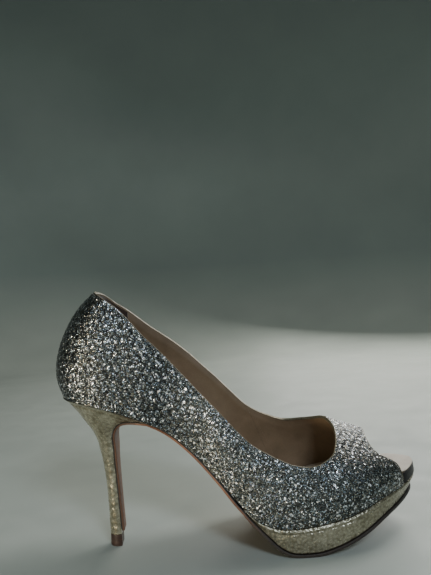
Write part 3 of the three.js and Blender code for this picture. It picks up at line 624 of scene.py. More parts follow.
glitterLeather()
goldLeather("pebbledGold", 1.3, 0.5, (0.42, 0.395, 0.3), (0.62, 0.585, 0.46))
# the heel's gold is the platform's leather painted lighter: painted highlight for the light on the heel
goldLeather("hammeredGold", 1.9, 0.3, (0.58, 0.54, 0.4), (0.78, 0.735, 0.57))
goldEdge()
# the lining is nude leather painted much darker than the sock: painted shade inside the shoe
paddedGrain("nudeLining", (0.19, 0.128, 0.075), (0.27, 0.188, 0.115), 0.42, 0.62)
paddedGrain("nudeSock", (0.5, 0.425, 0.335), (0.6, 0.52, 0.425), 0.42, 0.6, 0.6, 0.04)
darkSuede()
blackEdge()
soleLeather()
topPiecePlastic()
brushedSteel()
fibrousBoard("fibreBoard", (0.2, 0.125, 0.065), (0.36, 0.245, 0.14), 0.1)
fibrousBoard("stiffener", (0.45, 0.36, 0.23), (0.63, 0.53, 0.37), 0.06)
corkMaterial()
foamMaterial()
mouldedPlastic()
wovenTape()
threadMaterial("silverThread", (0.1, 0.1, 0.1), (0.3, 0.3, 0.29))
threadMaterial("nudeThread", (0.2, 0.135, 0.08), (0.34, 0.24, 0.155))
print("finishes:", len(finishes))

upper = {
    "thickness": 0.8,
    "columnSpacing": 0.52,
    "rows": 90,
    "hiddenRows": 6,
    "start": 0.45,  # below the topline, under the edge strip
    "margin": 12.0,  # turned in under the insole
    "scaleLength": 4.5,  # from one embossed scale to the next along the foot
    "scaleRow": 3.8,  # from one row of scales to the next
    "uneven": 0.26,
    "scaleHeight": 0.28,
    "scaleRound": 1.5,
    "grooveWidth": 0.5,
    "grooveDepth": 0.1,
    "fade": 1.2,  # the emboss dies away this near to an edge
    "pressedBack": (0.85, 0.25),  # share of the emboss at the counter and on the sides
    "pressedFront": (0.12, 1.17),  # low on the vamp and at its top
    "rowStart": 75.0,  # height of the first row on the quarters
    "seatRadius": 28.5,  # unrolls the back of the heel
    "seamWidth": 0.45,
    "seamDepth": 0.35,
    "seamEnd": 0.1,
}


def patternPlace(q, v):
    # flat coordinates on the leather, along the foot and up the wall to the crest, and how deep
    # the scales are pressed there: over the counter and the top of the vamp, but not on the sides
    size = upper
    places, heights = np.linspace(0, 1, 121), np.linspace(0, 1, 81)
    tables = []
    for side in (-1, 1):
        points = lastPoint(*np.meshgrid(places, side * (1 - heights) - side * 1e-6, indexing="ij"))
        steps = np.linalg.norm(np.diff(points, axis=1), axis=-1)
        tables.append(np.concatenate([np.zeros((len(places), 1)), np.cumsum(steps, 1)], 1))
    climbed = np.array(tables)
    columns, rows = len(places) - 1, len(heights) - 1
    col = np.clip(q * columns, 0, columns - 1e-4)
    row = np.clip((1 - np.abs(v)) * rows, 0, rows - 1e-4)
    c, r = np.floor(col).astype(int), np.floor(row).astype(int)
    side = np.where(v < 0, 0, 1)
    low, high, full = (mix(climbed[side, c, k], climbed[side, c + 1, k], col - c) for k in (r, r + 1, -1))
    arc = mix(low, high, row - r)
    x = lastPoint(q, v)[..., 0]
    cap = last["capShare"]
    bend = (1 - np.clip(q / cap, 0, 1)) * math.pi / 2
    along = np.where(q < cap, last["seatFront"] - size["seatRadius"] * bend, x)
    rowStart = mix(size["rowStart"], floorZ(x) + full, smooth(70, 118, x))
    quarters = mix(*size["pressedBack"], smooth(26, 62, x))
    vamp = mix(*size["pressedFront"], smooth(0.34, 0.6, arc / full))
    return along, floorZ(x) + arc - rowStart, mix(quarters, vamp, smooth(70, 100, x))


def wobble(i, j):
    # a fixed, random-looking number from -0.5 to 0.5 for each scale
    value = np.sin(i * 12.9898 + j * 78.233) * 43758.5453
    return value - np.floor(value) - 0.5


def emboss(u, w):
    # rounded scales in staggered rows, each rising towards its front end; the second result is
    # how far away the line between two scales is
    size = upper
    length, rowHeight, uneven = size["scaleLength"], size["scaleRow"], size["uneven"]
    row = np.round(w / rowHeight)
    places = []
    for j in (row + step for step in (-2, -1, 0, 1, 2)):
        stagger = 0.5 * np.mod(j, 2)
        column = np.round(u / length - stagger)
        for i in (column - 1, column, column + 1):
            places.append([
                (i + stagger + uneven * wobble(i, j)) * length,
                (j + uneven * wobble(j + 31, i)) * rowHeight,
            ])
    places = np.array(places)
    away = np.hypot(u - places[:, 0], w - places[:, 1])
    nearest = np.argsort(away, axis=0)[:2]
    near = np.take_along_axis(away, nearest, 0)
    centre = np.take_along_axis(places, nearest[:, None], 0)
    apart = np.hypot(*(centre[1] - centre[0]))
    edge = (near[1] ** 2 - near[0] ** 2) / (2 * np.maximum(apart, 0.5))
    lean = np.clip((u - centre[0][0]) / length, -0.6, 0.6)
    scale = size["scaleHeight"] * smooth(0, size["scaleRound"], edge) * 0.8 * (1 + lean)
    return scale - size["grooveDepth"] * ridge(edge, size["grooveWidth"]), edge


def turnIn(s):
    toOuter = 1 - smooth(outerCorner - 1.5, outerCorner, s)
    toInner = smooth(innerCorner, innerCorner + 1.5, s)
    return upper["margin"] * np.maximum(toOuter, toInner)


def shapeUpper():
    size = upper
    s = loopColumns(size["columnSpacing"])
    width = widthAt(s)
    reach = turnIn(s)
    onPeep = (s > outerCorner) & (s < innerCorner)
    edge = edgeAt(s)
    inward = unit(-skinNormal(edge[:, 0], edge[:, 1]) * (1, 1, 0))

    def face(rows, depth, lift):
        t = mix((size["start"] / width)[:, None], 1, np.linspace(0, 1, rows)[None, :])
        place = across(s[:, None], t)
        q, v = place[..., 0], place[..., 1]
        relief, edge, strength = np.zeros_like(q), np.ones_like(q), np.zeros_like(q)
        if depth == 0:
            u, w, strength = patternPlace(q, v)
            relief, edge = emboss(u, w)
            fromTop, fromEdge = t * width[:, None], (1 - t) * width[:, None]
            away = smooth(0, size["fade"], fromTop - size["start"]) * smooth(0, size["fade"], fromEdge)
            fromSeam = np.where(q > size["seamEnd"], 9, np.abs(lastPoint(q, v)[..., 1]))
            backSeam = ridge(fromSeam, size["seamWidth"])
            relief = relief * away * strength * (1 - backSeam) - size["seamDepth"] * backSeam
            strength = np.maximum(strength * away, backSeam)
            edge = np.minimum(edge, fromSeam)
        points = skinPoint(q, v, depth - relief)
        rim = points[:, -1].copy()
        raised = lift * np.minimum(1, reach / 4)
        rim[:, 2] = np.where(onPeep | (reach <= 0), rim[:, 2], floorPoint(rim[:, 0], raised)[1])
        points[:, -1] = rim
        margin = []
        for part in (0.15, 0.5, 1):
            turned = rim + inward * (reach * part)[:, None]
            turned[:, 2] += np.where(reach > 0, floorZ(turned[:, 0]) - floorZ(rim[:, 0]), 0)
            margin.append(turned)
        plain = np.zeros((len(s), 3))
        values = [np.concatenate([edge, plain + 1], 1), np.concatenate([strength, plain], 1)]
        return np.concatenate([points, np.stack(margin, 1)], 1), np.array(values)

    outer, outerValues = face(size["rows"], 0, 0)
    inner, innerValues = face(size["hiddenRows"], size["thickness"], size["thickness"])
    sections = np.concatenate([outer, inner[:, ::-1]], 1)
    edge, strength = np.concatenate([outerValues, innerValues], 2)
    return loft("glitter_upper", sections, ring=True, values={"edge": edge, "strength": strength}, sharp=60)


hand(shapeUpper(), "glitter_leather", "glitterLeather", "outer_upper")

strip = {
    "proud": 0.08,
    "height": 0.6,
    "toplineInside": 1.7,  # how deep it reaches over the folded layers
    "peepInside": 2.72,
    "peepOverlap": 0.15,
    "spacing": 0.9,
    "round": 0.55,
    "around": 20,
}


def shapeStrip(name, s, fromEdge):
    size = strip
    within = size["peepInside"] if fromEdge else size["toplineInside"]
    low, high = (-size["proud"], 0), (within, size["height"])
    depths, heights = roundedLoop(low, high, size["round"], size["around"])
    width = widthAt(s)
    t = heights / width[:, None]
    if fromEdge:
        t = 1 + (heights - size["peepOverlap"]) / width[:, None]
    return loft(name, pointAt(s[:, None], t, depths), ring=not fromEdge)


for name, columns, fromEdge, node in (
    ("topline_edge", loopColumns(strip["spacing"]), False, "topline_binding"),
    ("peep_edge", peepColumns(strip["spacing"]), True, "peep_binding"),
):
    hand(shapeStrip(name, columns, fromEdge), "gold_edge", "goldEdge", node)

lining = {
    "topDepth": 1.08,  # at the topline
    "depth": 2.0,
    "thickness": 0.6,
    "start": 0.4,
    "end": 1.4,
    "spacing": 1.3,
    "rows": 40,
    "outerSeam": 6.5,
    "innerSeam": 18.5,
    "gap": 0.003,
    "tapeDepth": 0.84,
    "tapeThickness": 0.16,
    "tapeStart": 1.3,
    "tapeWidth": 5.0,
    "gripAway": 0.65,  # from the lining's outer face to the grip's
    "gripThickness": 0.6,
    "gripReach": 2.2,
    "gripStart": 1.2,
    "gripEnd": 9.5,
}


def liningDepth(fromTopline):
    # close to the upper at the topline, and deeper over the tape and the stiffeners
    return mix(lining["topDepth"], lining["depth"], smooth(0.5, 6.5, fromTopline))


def layer(name, s, start, end, depthAt, thickness, rows, ring=False):
    # a sheet under the upper, with rounded edges: start and end are distances from the two edges
    width = widthAt(s)
    low, high = (start / width)[:, None], (1 - end / width)[:, None]
    k = np.concatenate([np.linspace(0, 1, rows), np.linspace(1, 0, rows)])
    length = float(np.mean(width - start - end))
    swell = roundOver(np.minimum(k, 1 - k) * length, thickness / 2)
    sign = np.concatenate([-np.ones(rows), np.ones(rows)])
    t = mix(low, high, k)
    depths = depthAt(t * width[:, None]) + (1 + sign * swell) * thickness / 2
    return loft(name, pointAt(s[:, None], t, depths), ring=ring)


def shapeLining(name, start, end):
    size = lining
    s = evenColumns(start + size["gap"], end - size["gap"], size["spacing"])
    return layer(name, s, size["start"], size["end"], liningDepth, size["thickness"], size["rows"])


for name, start, end, node in (
    ("outer_quarter_lining", 0, lining["outerSeam"], "quarter_lining_outer"),
    ("front_lining", lining["outerSeam"], lining["innerSeam"], "vamp_lining"),
    ("inner_quarter_lining", lining["innerSeam"], loopEnd, "quarter_lining_inner"),
):
    hand(shapeLining(name, start, end), "nude_leather", "nudeLining", node)


def shapeGrip():
    size = lining
    reach = size["gripReach"]
    before = evenColumns(loopEnd - reach, loopEnd, size["spacing"])[:-1]
    s = np.concatenate([before, evenColumns(0, reach, size["spacing"])])
    return layer("suede_heel_grip", s, size["gripStart"], size["gripEnd"],
                 lambda away: liningDepth(away) + size["gripAway"], size["gripThickness"], 30)


def shapeTape():
    size = lining
    s = loopColumns(size["spacing"])
    end = widthAt(s) - size["tapeStart"] - size["tapeWidth"]
    return layer("topline_webbing", s, size["tapeStart"], end,
                 lambda away: size["tapeDepth"] + 0 * away, size["tapeThickness"], 6, ring=True)


hand(shapeGrip(), "dark_suede", "darkSuede", "heel_grip")
hand(shapeTape(), "tape", "wovenTape", "topline_tape")
print("edges, linings and grip are on")

# inside the shoe: foam pads, sock and the edge of the insole
inside = {
    "sockBase": 5.6,
    "sockThickness": 0.9,
    "sockInset": (3.72, 2.8, 0.25),  # at the seat, from the waist on and at the open toe
    "padThickness": 1.2,
    "padEdge": 0.15,
    "padRound": 6.0,
    "clearance": 0.3,
    "padEnds": {"heel": (-18.0, 22.0), "forefoot": (88.0, 138.0)},
    "padInset": {"heel": 9.0, "forefoot": 8.0},
    "openToe": 165.5,
    "bandStart": 163.5,
    "bandFree": (164.5, 168.5),  # it comes out from under the upper between these
    "bandTop": 5.35,
    "bandThickness": 1.3,
}


def stations(start, end, spacing):
    # stations along the last, closer together round the seat and the toe
    front, back = last["seatFront"], last["seatBack"]
    toe, tip = last["toeStart"], last["toeTip"]
    quarter = quarterTurn(48)
    seat = mix(front, back, np.cos(quarter))
    middle = np.linspace(front, toe, int((toe - front) / spacing))[1:-1]
    toeRound = mix(toe, tip, np.sin(quarter))
    found = np.concatenate([seat, middle, toeRound])
    found = found[(found > start + 0.3) & (found < end - 0.3)]
    return np.concatenate([[start], found, [end]])


def plate(name, xs, inset, base, top, acrossCount=24, crown=0.0, roundness=0.9):
    # a flat layer on the last's bottom; inset, base and top are numbers or one for each station
    base, top, outside = (np.broadcast_to(value, xs.shape)[:, None] for value in (base, top, inset))
    k = 0.5 - 0.5 * np.cos(math.pi * np.linspace(0, 1, acrossCount))
    outerX, outerY = drawnIn(xs[:, None], -1, outside)
    innerX, innerY = drawnIn(xs[:, None], 1, outside)
    x, y = mix(outerX, innerX, k), mix(outerY, innerY, k)
    lip = (top - base) / 2 * roundOver(np.minimum(k, 1 - k) * (innerY - outerY), roundness)
    middle = (top + base) / 2
    upperFace = aboveFloor(x, y, middle + lip + crown * np.sin(math.pi * k))
    lowerFace = aboveFloor(x, y, middle - lip)
    return loft(name, np.concatenate([upperFace, lowerFace[:, ::-1]], 1))


def overPads(x):
    lifts = [smooth(a - 9, a - 2, x) - smooth(b + 2, b + 9, x) for a, b in inside["padEnds"].values()]
    return (inside["padThickness"] + inside["clearance"]) * np.maximum(lifts[0], lifts[1])


def shapePad(name, start, end, inset):
    size = inside
    xs = np.linspace(start, end, 60)
    rounded = roundOver(np.minimum(xs - start, end - xs), size["padRound"])
    thickness = mix(size["padEdge"], size["padThickness"], rounded)
    return plate(name, xs, inset, size["sockBase"], size["sockBase"] + thickness, roundness=5.0)


def shapeSock():
    size = inside
    xs = stations(last["seatBack"], last["toeTip"], 1.6)
    seat, waist, toe = size["sockInset"]
    inset = mix(mix(seat, waist, smooth(8, 18, xs)), toe, smooth(0, 4, xs - size["openToe"]))
    base = size["sockBase"] + overPads(xs)
    return plate("sock_lining", xs, inset, base, base + size["sockThickness"], 40, 0.12)


for padName, ends in inside["padEnds"].items():
    pad = shapePad(padName + "_foam_pad", *ends, inside["padInset"][padName])
    hand(pad, "foam", "foam", padName + "_cushion")
hand(shapeSock(), "sock_leather", "nudeSock", "sock")


def roundToe(start, spacing):
    # stations from one side's start round the toe to the other side's, with their sides
    xs = stations(start, last["toeTip"], spacing)
    return np.concatenate([xs, xs[-2::-1]]), np.concatenate([-np.ones(len(xs)), np.ones(len(xs) - 1)])


def shapeBand():
    size = inside
    xs, sides = roundToe(size["bandStart"], 1.5)
    insets, heights = roundedLoop((0, 0.3), (size["bandThickness"], size["bandTop"]), 0.35, 24)
    under = 1 - smooth(*size["bandFree"], xs)[:, None]
    return loft("insole_edge", aboveFloor(*drawnIn(xs[:, None], sides[:, None], insets + under), heights))


hand(shapeBand(), "black_edge", "blackEdge", "insole_edge_band")
print("inside pieces are in")

platform = {
    "rear": 72.5,
    "treadStart": 101.0,
    "treadEnd": 109.0,
    "soleTop": 1.9,
    "rearEdge": 0.9,
    "toeFrom": 140.0,
    "ledge": (0.8, -0.6),  # how far it stands out under the ball and at the toe
    "draw": (0.8, 3.0),  # how far its wall leans in, there and there
    "skin": 0.8,
    "flange": 8.0,
    "corner": 0.9,
    "belly": 0.3,
    "bead": 0.22,  # folded edge along the top of the wall
    "beadWidth": 0.75,
    "crease": (1.55, 0.4, 1.2),  # place, width and share of the crease under it
    "soften": 4.0,  # how far the curves at the tread's ends run into it
    "spacing": 1.0,
}
soleFall = through([
    [0, 0], [0.1, 0.006], [0.247, 0.055], [0.389, 0.18], [0.663, 0.53], [0.867, 0.79], [1, 1],
])
noseRise = through([
    [0, 0], [0.06, 0.014], [0.157, 0.078], [0.368, 0.273], [0.589, 0.53], [0.77, 0.65],
    [0.933, 0.735], [1, 0.77],
])


def platformTop(x):
    return floorZ(x) - gap


def underside(x):
    # the drawn curve, averaged over a short run so it has no corners
    run = np.linspace(-1, 1, 9) * platform["soften"]
    near = np.asarray(x, float)[..., None] + run
    mean = drawnUnderside(near).mean(-1)
    rest = drawnUnderside(x)
    rear, tip = platform["rear"], last["toeTip"]
    return mix(rest, mean, smooth(rear, rear + 6, x) * (1 - smooth(tip - 8, tip, x)))


def drawnUnderside(x):
    size, tip = platform, last["toeTip"]
    x = np.asarray(x, float)
    start, end, rear = size["treadStart"], size["treadEnd"], size["rear"]
    atRear = platformTop(rear) - size["rearEdge"] - size["soleTop"]
    atToe = platformTop(tip) - size["soleTop"]
    fall = atRear * soleFall(np.clip((start - x) / (start - rear), 0, 2))
    rise = atToe * noseRise(np.clip((x - end) / (tip - end), 0, 2))
    return size["soleTop"] + np.where(x < start, fall, np.where(x > end, rise, 0))


def wallDraw(x):
    return mix(*platform["draw"], smooth(platform["toeFrom"], last["toeTip"], x))


def ledge(x):
    return mix(*platform["ledge"], smooth(platform["toeFrom"], last["toeTip"], x))


def shapePlatform():
    size = platform
    xs, sides = roundToe(size["rear"], size["spacing"])
    wall = np.concatenate([np.linspace(0, 0.26, 14)[1:-1], np.linspace(0.26, 1, 12)[:-1]])
    bend, crease = quarterTurn(7), size["crease"]
    sections = []
    for x, side in zip(xs, sides):
        top = -float(ledge(x))
        base = top + float(wallDraw(x))
        tall = float(platformTop(x) - underside(x))
        skin, corner = min(size["skin"], 0.3 * tall), min(size["corner"], 0.35 * tall)
        fromTop = wall * (tall - 2 * corner)
        creased = crease[2] * ridge(fromTop - crease[0], crease[1])
        folded = ridge(fromTop, size["beadWidth"]) - creased
        bulge = (size["belly"] * np.sin(math.pi * wall) + size["bead"] * folded) * min(1, tall / 12)
        turned, sunk = corner * (1 - np.sin(bend)), corner * (1 - np.cos(bend))
        flange = np.array([size["flange"], 3.0])
        inset = [top + flange, top + turned, mix(top, base, wall) - bulge, base + sunk, base + flange[::-1]]
        drop = [0 * flange, sunk, mix(corner, tall - corner, wall), tall - turned, tall + 0 * flange]
        inset, drop = np.concatenate(inset), np.concatenate(drop)
        pull = np.clip((size["flange"] - (inset - top)) / 2, 0, 1)
        hollow = np.maximum(inset, top) + skin * pull
        faces = []
        for inward, down in ((inset, drop), (hollow, skin + drop * (tall - 2 * skin) / tall)):
            at, y = drawnIn(x, side, inward)
            faces.append(stacked(at, y, mix(platformTop(at), underside(at), down / tall)))
        sections.append(np.concatenate([faces[0], faces[1][::-1]]))
    return loft("platform_wrap", sections, sharp=50)


hand(shapePlatform(), "gold_leather", "pebbledGold", "platform_cover")
print("platform is on")

heel = {
    "stemBase": 6.9,
    "coverThickness": 0.8,
    "cornerShare": 0.93,
    "levels": 110,
    "cheek": 10,
    "round": 34,
    "hammer": 0.3,
    "hammerSize": 2.3,
    "bead": 0.6,  # folded edge under the seat
    "beadWidth": 0.9,
    "crease": (1.8, 0.45),  # place and width of the crease under it
    "height": 66.0,
    "fade": 30,  # the dents die away this fast at both ends
    "topPieceHeight": 6.6,
    "topPieceEdge": 0.5,
}
breastX = through([
    [0, 3], [0.4, 1.9], [0.65, 1.6], [0.81, 2.4], [0.872, 5.2], [0.918, 9.3], [0.961, 15.7], [1, 23],
])
backX = through([
    [0, -4.3], [0.4, -4.9], [0.5, -5.6], [0.617, -7.1], [0.711, -8.7], [0.774, -11], [0.836, -14.8],
    [0.926, -20.2], [1, -26],
])
heelHalf = through([
    [0, 4.9], [0.1, 5.1], [0.25, 5.6], [0.4, 6.2], [0.52, 7.1], [0.66, 9.2], [0.76, 11.5],
    [0.83, 14.2], [0.88, 17], [0.93, 20.6], [0.97, 24.2], [1, 26.8],
])


def heelZ(u, x):
    return mix(heel["stemBase"], floorZ(x) - gap, u)


def heelSide(u, side, inset):
    # half of the heel's outline at u, from its front corner to its back
    front, back = breastX(u) - gap, backX(u) + inset
    widest = mix(front, back, 0.32)
    half = heelHalf(u) - inset
    t = np.linspace(0, 1, heel["cheek"])[:-1]
    a = quarterTurn(heel["round"])
    x = np.concatenate([mix(front, widest, t), mix(widest, back, np.sin(a))])
    wide = np.concatenate([mix(heel["cornerShare"], 1, np.sin(t * math.pi / 2)), np.cos(a)])
    return x, side * half * wide


def heelRing(u, inset):
    outerX, outerY = heelSide(u, -1, inset)
    innerX, innerY = heelSide(u, 1, inset)
    return np.concatenate([outerX, innerX[-2::-1]]), np.concatenate([outerY, innerY[-2::-1]])


def hammered(points, size, depth):
    # soft dents, as pressed over the hard heel
    dents = []
    for p in points:
        near, _ = noise.voronoi(Vector(p) / size)
        dents.append(min(near[1] - near[0], 0.6))
    return (np.array(dents) - 0.3) * depth


def shapeHeelCover():
    size = heel
    sections = []
    for k in np.linspace(0, 1, size["levels"]):
        u = 1 - (1 - k) ** 1.25
        x, y = heelRing(u, 0)
        outer = stacked(x, y, heelZ(u, x))
        run = np.gradient(outer[:, :2], axis=0)
        normal = unit(stacked(-run[:, 1], run[:, 0]))
        outward = np.sign(np.sum(normal * (outer[:, :2] - outer[:, :2].mean(0)), -1, keepdims=True))
        fade = np.minimum(1, np.minimum(k, 1 - k) * size["fade"])
        fromSeat = (1 - u) * size["height"]
        creased = ridge(fromSeat - size["crease"][0], size["crease"][1])
        folded = size["bead"] * (ridge(fromSeat, size["beadWidth"]) - creased)
        dents = hammered(outer, size["hammerSize"], size["hammer"])[:, None] * fade
        outer[:, :2] += normal * outward * (dents + folded)
        x, y = heelRing(u, size["coverThickness"])
        inner = stacked(x, y, heelZ(u, x))
        sections.append(np.concatenate([outer, inner[::-1]]))
    return loft("heel_wrap", sections, sharp=50)


hand(shapeHeelCover(), "gold_leather", "hammeredGold", "heel_cover")


def shapeTopPiece():
    size = heel
    sections = []
    edge = size["topPieceEdge"]
    profile = [(edge * (1 - math.sin(a)), edge * (1 - math.cos(a))) for a in quarterTurn(6)]
    profile += [(0, h) for h in np.linspace(1.2, size["topPieceHeight"] - 0.4, 8)]
    profile += [(0.06, size["topPieceHeight"] - 0.1), (0.25, size["topPieceHeight"])]
    for inset, height in profile:
        x, y = heelRing(0, inset)
        x = np.where(x > 1.5, x - inset, x)
        sections.append(stacked(x, y, height))
    return loft("heel_tip", sections)


hand(shapeTopPiece(), "top_piece_plastic", "topPiecePlastic", "top_piece")
print("heel is on")

# the outsole runs on as a tongue down the front of the heel
outsole = {
    "thickness": 1.6,
    "waistThickness": 1.7,
    "tongueThickness": 1.5,
    "tongueEnd": 0.024,  # shares of the heel's height
    "tongueBend": 0.8,
    "tongueTop": 0.975,
    "waistStart": 23.0,
    "dyedFront": (62, 84),
    "spacing": 1.2,
    "around": 32,
    "round": 0.42,
}
waistEdge = through([[23, -2.6], [34, -1.5], [46, -0.3], [60, 0.3], [72.5, 0.5]])


def shapeOutsole():
    size, rear = outsole, platform["rear"]
    bend, top = size["tongueBend"], size["tongueTop"]
    us = np.concatenate([np.linspace(size["tongueEnd"], bend, 40)[:-1], np.linspace(bend, top, 28)])
    half = heelHalf(us) * heel["cornerShare"]
    tongue = stacked(breastX(us), heelZ(us, breastX(us)), -half, half, size["tongueThickness"])
    xs = stations(size["waistStart"], last["toeTip"], size["spacing"])
    edge = np.where(xs < rear, waistEdge(xs), ledge(xs) + 0.5 - wallDraw(xs))
    at, inner = drawnIn(xs, 1, -edge)
    outer = drawnIn(xs, -1, -edge)[1]
    sink = (platform["rearEdge"] + gap) * smooth(60, rear, xs)
    z = np.where(xs < rear, floorZ(xs) - sink, underside(at)) - gap
    thick = mix(size["waistThickness"], size["thickness"], smooth(60, platform["treadStart"], xs))
    lines = np.concatenate([tongue, stacked(at, z, outer, inner, thick)])
    softened = lines[:, :2].copy()
    corner = np.arange(len(us) - 4, len(us) + 4)
    for _ in range(2):
        softened[corner] = (softened[corner - 1] + 2 * softened[corner] + softened[corner + 1]) / 4
    along = unit(np.gradient(softened, axis=0))
    down = stacked(along[:, 1], -along[:, 0])
    tread = (lines[:, 0] > platform["treadStart"] - 0.01) & (lines[:, 0] < platform["treadEnd"] + 0.01)
    down[tread] = (0, -1)
    sides, depths = roundedLoop((0, 0), (1, 1), size["round"], size["around"])
    x, z, outer, inner, thick = lines.T[:, :, None]
    wide = inner - outer
    # the rounding stays as wide as the sole is thick, whatever the width
    lip = np.minimum(thick, wide) / 2
    near = np.where(sides < 0.5, sides * 2 * lip, wide - (1 - sides) * 2 * lip)
    under = thick * depths
    sections = stacked(x + down[:, :1] * under, outer + near, z + down[:, 1:] * under)
    # the edge is dyed black round the front; behind it only its upper part is dark, and on the heel's tongue
    # the whole edge is at least half dark
    upperPart = 1 - smooth(0.28, 0.5, depths)
    painted = mix(np.maximum(upperPart, 0.55 * (x < 16)), 1, smooth(*size["dyedFront"], x))
    edgeDark = painted * (1 - smooth(0.35, 0.95, np.minimum(near, wide - near)) * (depths > 0.5))
    return loft("leather_outsole", sections, values={"edgeDark": edgeDark}, sharp=50)


hand(shapeOutsole(), "sole_leather", "soleLeather", "outsole")
print("outsole is on")

stitching = {
    "fromEdge": 1.6,
    "fromSeam": 0.16,  # in places of the loop
    "seamRun": (0.06, 0.93),
    "raised": 0.12,
}
stitchSizes = {"Spacing": 1.9, "Length": 1.35, "Thickness": 0.28}


def stitchTree(thread):
    g = Nodes(bpy.data.node_groups.new("stitches", "GeometryNodeTree"))
    face = g.tree.interface
    face.new_socket("Geometry", in_out="INPUT", socket_type="NodeSocketGeometry")
    for label in stitchSizes:
        face.new_socket(label, in_out="INPUT", socket_type="NodeSocketFloat")
    face.new_socket("Geometry", in_out="OUTPUT", socket_type="NodeSocketGeometry")
    entry = g.add("NodeGroupInput").outputs
    line = g.add("GeometryNodeMeshToCurve", Mesh=entry["Geometry"])
    even = g.add("GeometryNodeResampleCurve", mode="LENGTH", Curve=line.outputs[0], Length=entry["Spacing"])
    shape = g.add("GeometryNodeMeshUVSphere", Segments=8, Rings=6, Radius=0.5)
    size = g.add("ShaderNodeCombineXYZ", X=entry["Length"], Y=entry["Thickness"], Z=entry["Thickness"])
    tangent = g.add("GeometryNodeInputTangent").outputs[0]
    along = g.add("FunctionNodeAlignRotationToVector", axis="X", Vector=tangent)
    normal = g.add("GeometryNodeInputNamedAttribute", data_type="FLOAT_VECTOR", Name="outward")
    upright = g.add("FunctionNodeAlignRotationToVector", axis="Z", pivot_axis="X",
                    Rotation=along.outputs[0], Vector=normal.outputs["Attribute"])
    sewn = g.add("GeometryNodeInstanceOnPoints", Points=even.outputs[0], Instance=shape.outputs["Mesh"],
                 Rotation=upright.outputs[0], Scale=size.outputs[0])
    real = g.add("GeometryNodeRealizeInstances", Geometry=sewn.outputs[0])
    painted = g.add("GeometryNodeSetMaterial", Geometry=real.outputs[0], Material=thread)
    g.add("NodeGroupOutput", Geometry=painted.outputs[0])
    return g.tree


def stitchRow(name, slotName, thread, lines):
    # lines: (points in millimetres, outward directions, whether it closes on itself)
    points, outward, edges = [], [], []
    for line, normals, closed in lines:
        base, count = len(points), len(line)
        points += inFrame(line).tolist()
        outward += normals.tolist()
        edges += [(base + i, base + (i + 1) % count) for i in range(count if closed else count - 1)]
    mesh = bpy.data.meshes.new(name + "_path")
    mesh.from_pydata(points, edges, [])
    layer = mesh.attributes.new("outward", "FLOAT_VECTOR", "POINT")
    layer.data.foreach_set("vector", np.array(outward, np.float32).ravel())
    path = addObject(name + "_path", mesh)
    modifier = path.modifiers.new("stitches", "NODES")
    modifier.node_group = stitchTree(finishes[thread])
    for item in modifier.node_group.interface.items_tree:
        if item.in_out == "INPUT" and item.name in stitchSizes:
            modifier[item.identifier] = stitchSizes[item.name] / 1000
    graph = bpy.context.evaluated_depsgraph_get()
    made = bpy.data.meshes.new_from_object(path.evaluated_get(graph))
    path.modifiers.clear()
    bpy.data.objects.remove(path)
    made.shade_smooth()
    hand(addObject(name, made), slotName, thread)


def rowAlong(s, t, depth, facing=1):
    place = across(s, t)
    normal = skinNormal(place[..., 0], place[..., 1]) * facing
    return skinPoint(place[..., 0], place[..., 1], depth + 0 * s), normal


edgeRows = []
for s, closed in ((loopColumns(1.0), True), (peepColumns(1.0), False)):
    share = stitching["fromEdge"] / widthAt(s)
    edgeRows.append((*rowAlong(s, share if closed else 1 - share, -stitching["raised"]), closed))
stitchRow("edge_stitches", "gold_edge", "silverThread", edgeRows)
seamRows = []
for seam, away in ((lining["outerSeam"], 1), (lining["innerSeam"], -1)):
    t = np.linspace(*stitching["seamRun"], 60)
    s = np.full_like(t, seam + away * stitching["fromSeam"])
    liningFace = liningDepth(t * widthAt(s)) + lining["thickness"]
    seamRows.append((*rowAlong(s, t, liningFace, -1), False))
stitchRow("lining_stitches", "nude_leather", "nudeThread", seamRows)
print("stitches are sewn")

# the fitted pieces that stay as they are, under the leather
for finish, starts in {
    "stiffener": ("heel_counter", "toe_puff"),
    "fibreBoard": ("shank_board", "insole_board"),
    "cork": ("bottom_filler", "platform_core"),
    "mouldedPlastic": ("heel_block",),
    "brushedSteel": ("heel_screw", "heel_nail", "shank_rivet", "steel_shank", "heel_tube", "top_piece_dowel"),
}.items():
    for name in nodes:
        if name.startswith(starts):
            nodes[name].material_slots[0].material = finishes[finish]

stage = {"flat": 1.0, "bend": 0.5, "height": 2.2, "around": 96}


def paleFloor():
    f = Finish("paleFloor")
    ground = f.tones(f.noise(120), (0.4, 0.44, 0.4), (0.46, 0.5, 0.455))
    wall = f.tones(f.noise(400), (0.2, 0.25, 0.24), (0.24, 0.295, 0.28))
    place = f.add("ShaderNodeSeparateXYZ", Vector=f.place)
    f.colour(f.blend(f.remap(place.outputs["Z"], 0.004, 0.25), ground, wall))
    f.roughness(f.noise(30, 4), 0.42, 0.6)


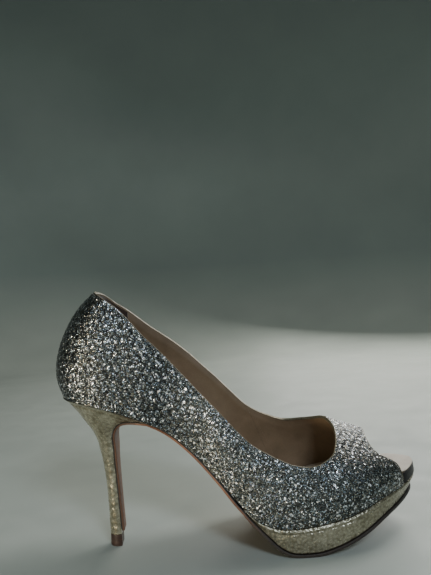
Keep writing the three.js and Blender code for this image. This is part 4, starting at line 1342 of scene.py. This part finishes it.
def shapeStage():
    size = stage
    arc = quarterTurn(14)
    flat, bend = size["flat"], size["bend"]
    radii = np.concatenate([[0.0, 0.3, 0.7], flat + bend * np.sin(arc), [flat + bend]])
    heights = np.concatenate([[0.0, 0.0, 0.0], bend * (1 - np.cos(arc)), [size["height"]]])
    turn = np.linspace(0, 2 * math.pi, size["around"], endpoint=False)
    points = [(r * math.cos(a), r * math.sin(a), h) for r, h in zip(radii, heights) for a in turn]
    index = np.arange(len(points)).reshape(len(radii), -1)
    faces = stacked(index[:-1], np.roll(index[:-1], -1, 1), np.roll(index[1:], -1, 1), index[1:])
    mesh = bpy.data.meshes.new("floor")
    mesh.from_pydata(points, [], faces.reshape(-1, 4).tolist())
    paleFloor()
    mesh.materials.append(finishes["paleFloor"])
    finishMesh("floor", mesh)


shapeStage()

lampTarget = (0, 0, 0.05)
lights = {  # place, width, height, power and colour
    "window": ((0.5, 0.85, 0.45), 0.9, 0.7, 6, (1.0, 0.98, 0.92)),
    "key": ((0.5, 0.3, 0.9), 0.4, 0.4, 4.4, (1.0, 0.99, 0.96)),
    "skylight": ((0.22, -0.8, 0.66), 0.22, 0.22, 4, (0.76, 0.87, 1.0)),
    "warmFill": ((-0.62, -0.72, 0.07), 0.24, 0.12, 5, (1.0, 0.88, 0.68)),
}
for name, (place, width, height, power, colour) in lights.items():
    data = bpy.data.lights.new(name, "AREA")
    data.shape = "RECTANGLE"
    data.size, data.size_y = width, height
    data.energy = power
    data.color = colour
    lamp = addObject(name, data)
    lamp.location = place
    lamp.visible_camera = False
    lamp.rotation_euler = (Vector(lampTarget) - lamp.location).to_track_quat("-Z", "Y").to_euler()

world = bpy.data.worlds.new("room")
bpy.context.scene.world = world
world.use_nodes = True
air = next(n for n in world.node_tree.nodes if n.type == "BACKGROUND")
air.inputs["Color"].default_value = (0.6, 0.7, 0.66, 1)
air.inputs["Strength"].default_value = 0.13

camera = {"place": (53.2, -340.8, 138.7), "turn": 2.3, "lift": 1.25, "roll": 3.9, "lens": 35.69}


def placeCamera():
    pose = Matrix.Translation(inFrame(camera["place"]))
    for degrees, axis in ((-camera["turn"], "Z"), (90 + camera["lift"], "X"), (-camera["roll"], "Z")):
        pose = pose @ Matrix.Rotation(math.radians(degrees), 4, axis)
    data = bpy.data.cameras.new("camera")
    data.sensor_width = 36
    data.lens = camera["lens"]
    data.clip_start = 0.01
    seen = addObject("camera", data)
    seen.matrix_world = pose
    bpy.context.scene.camera = seen


placeCamera()
print("stage, lights and camera are set")
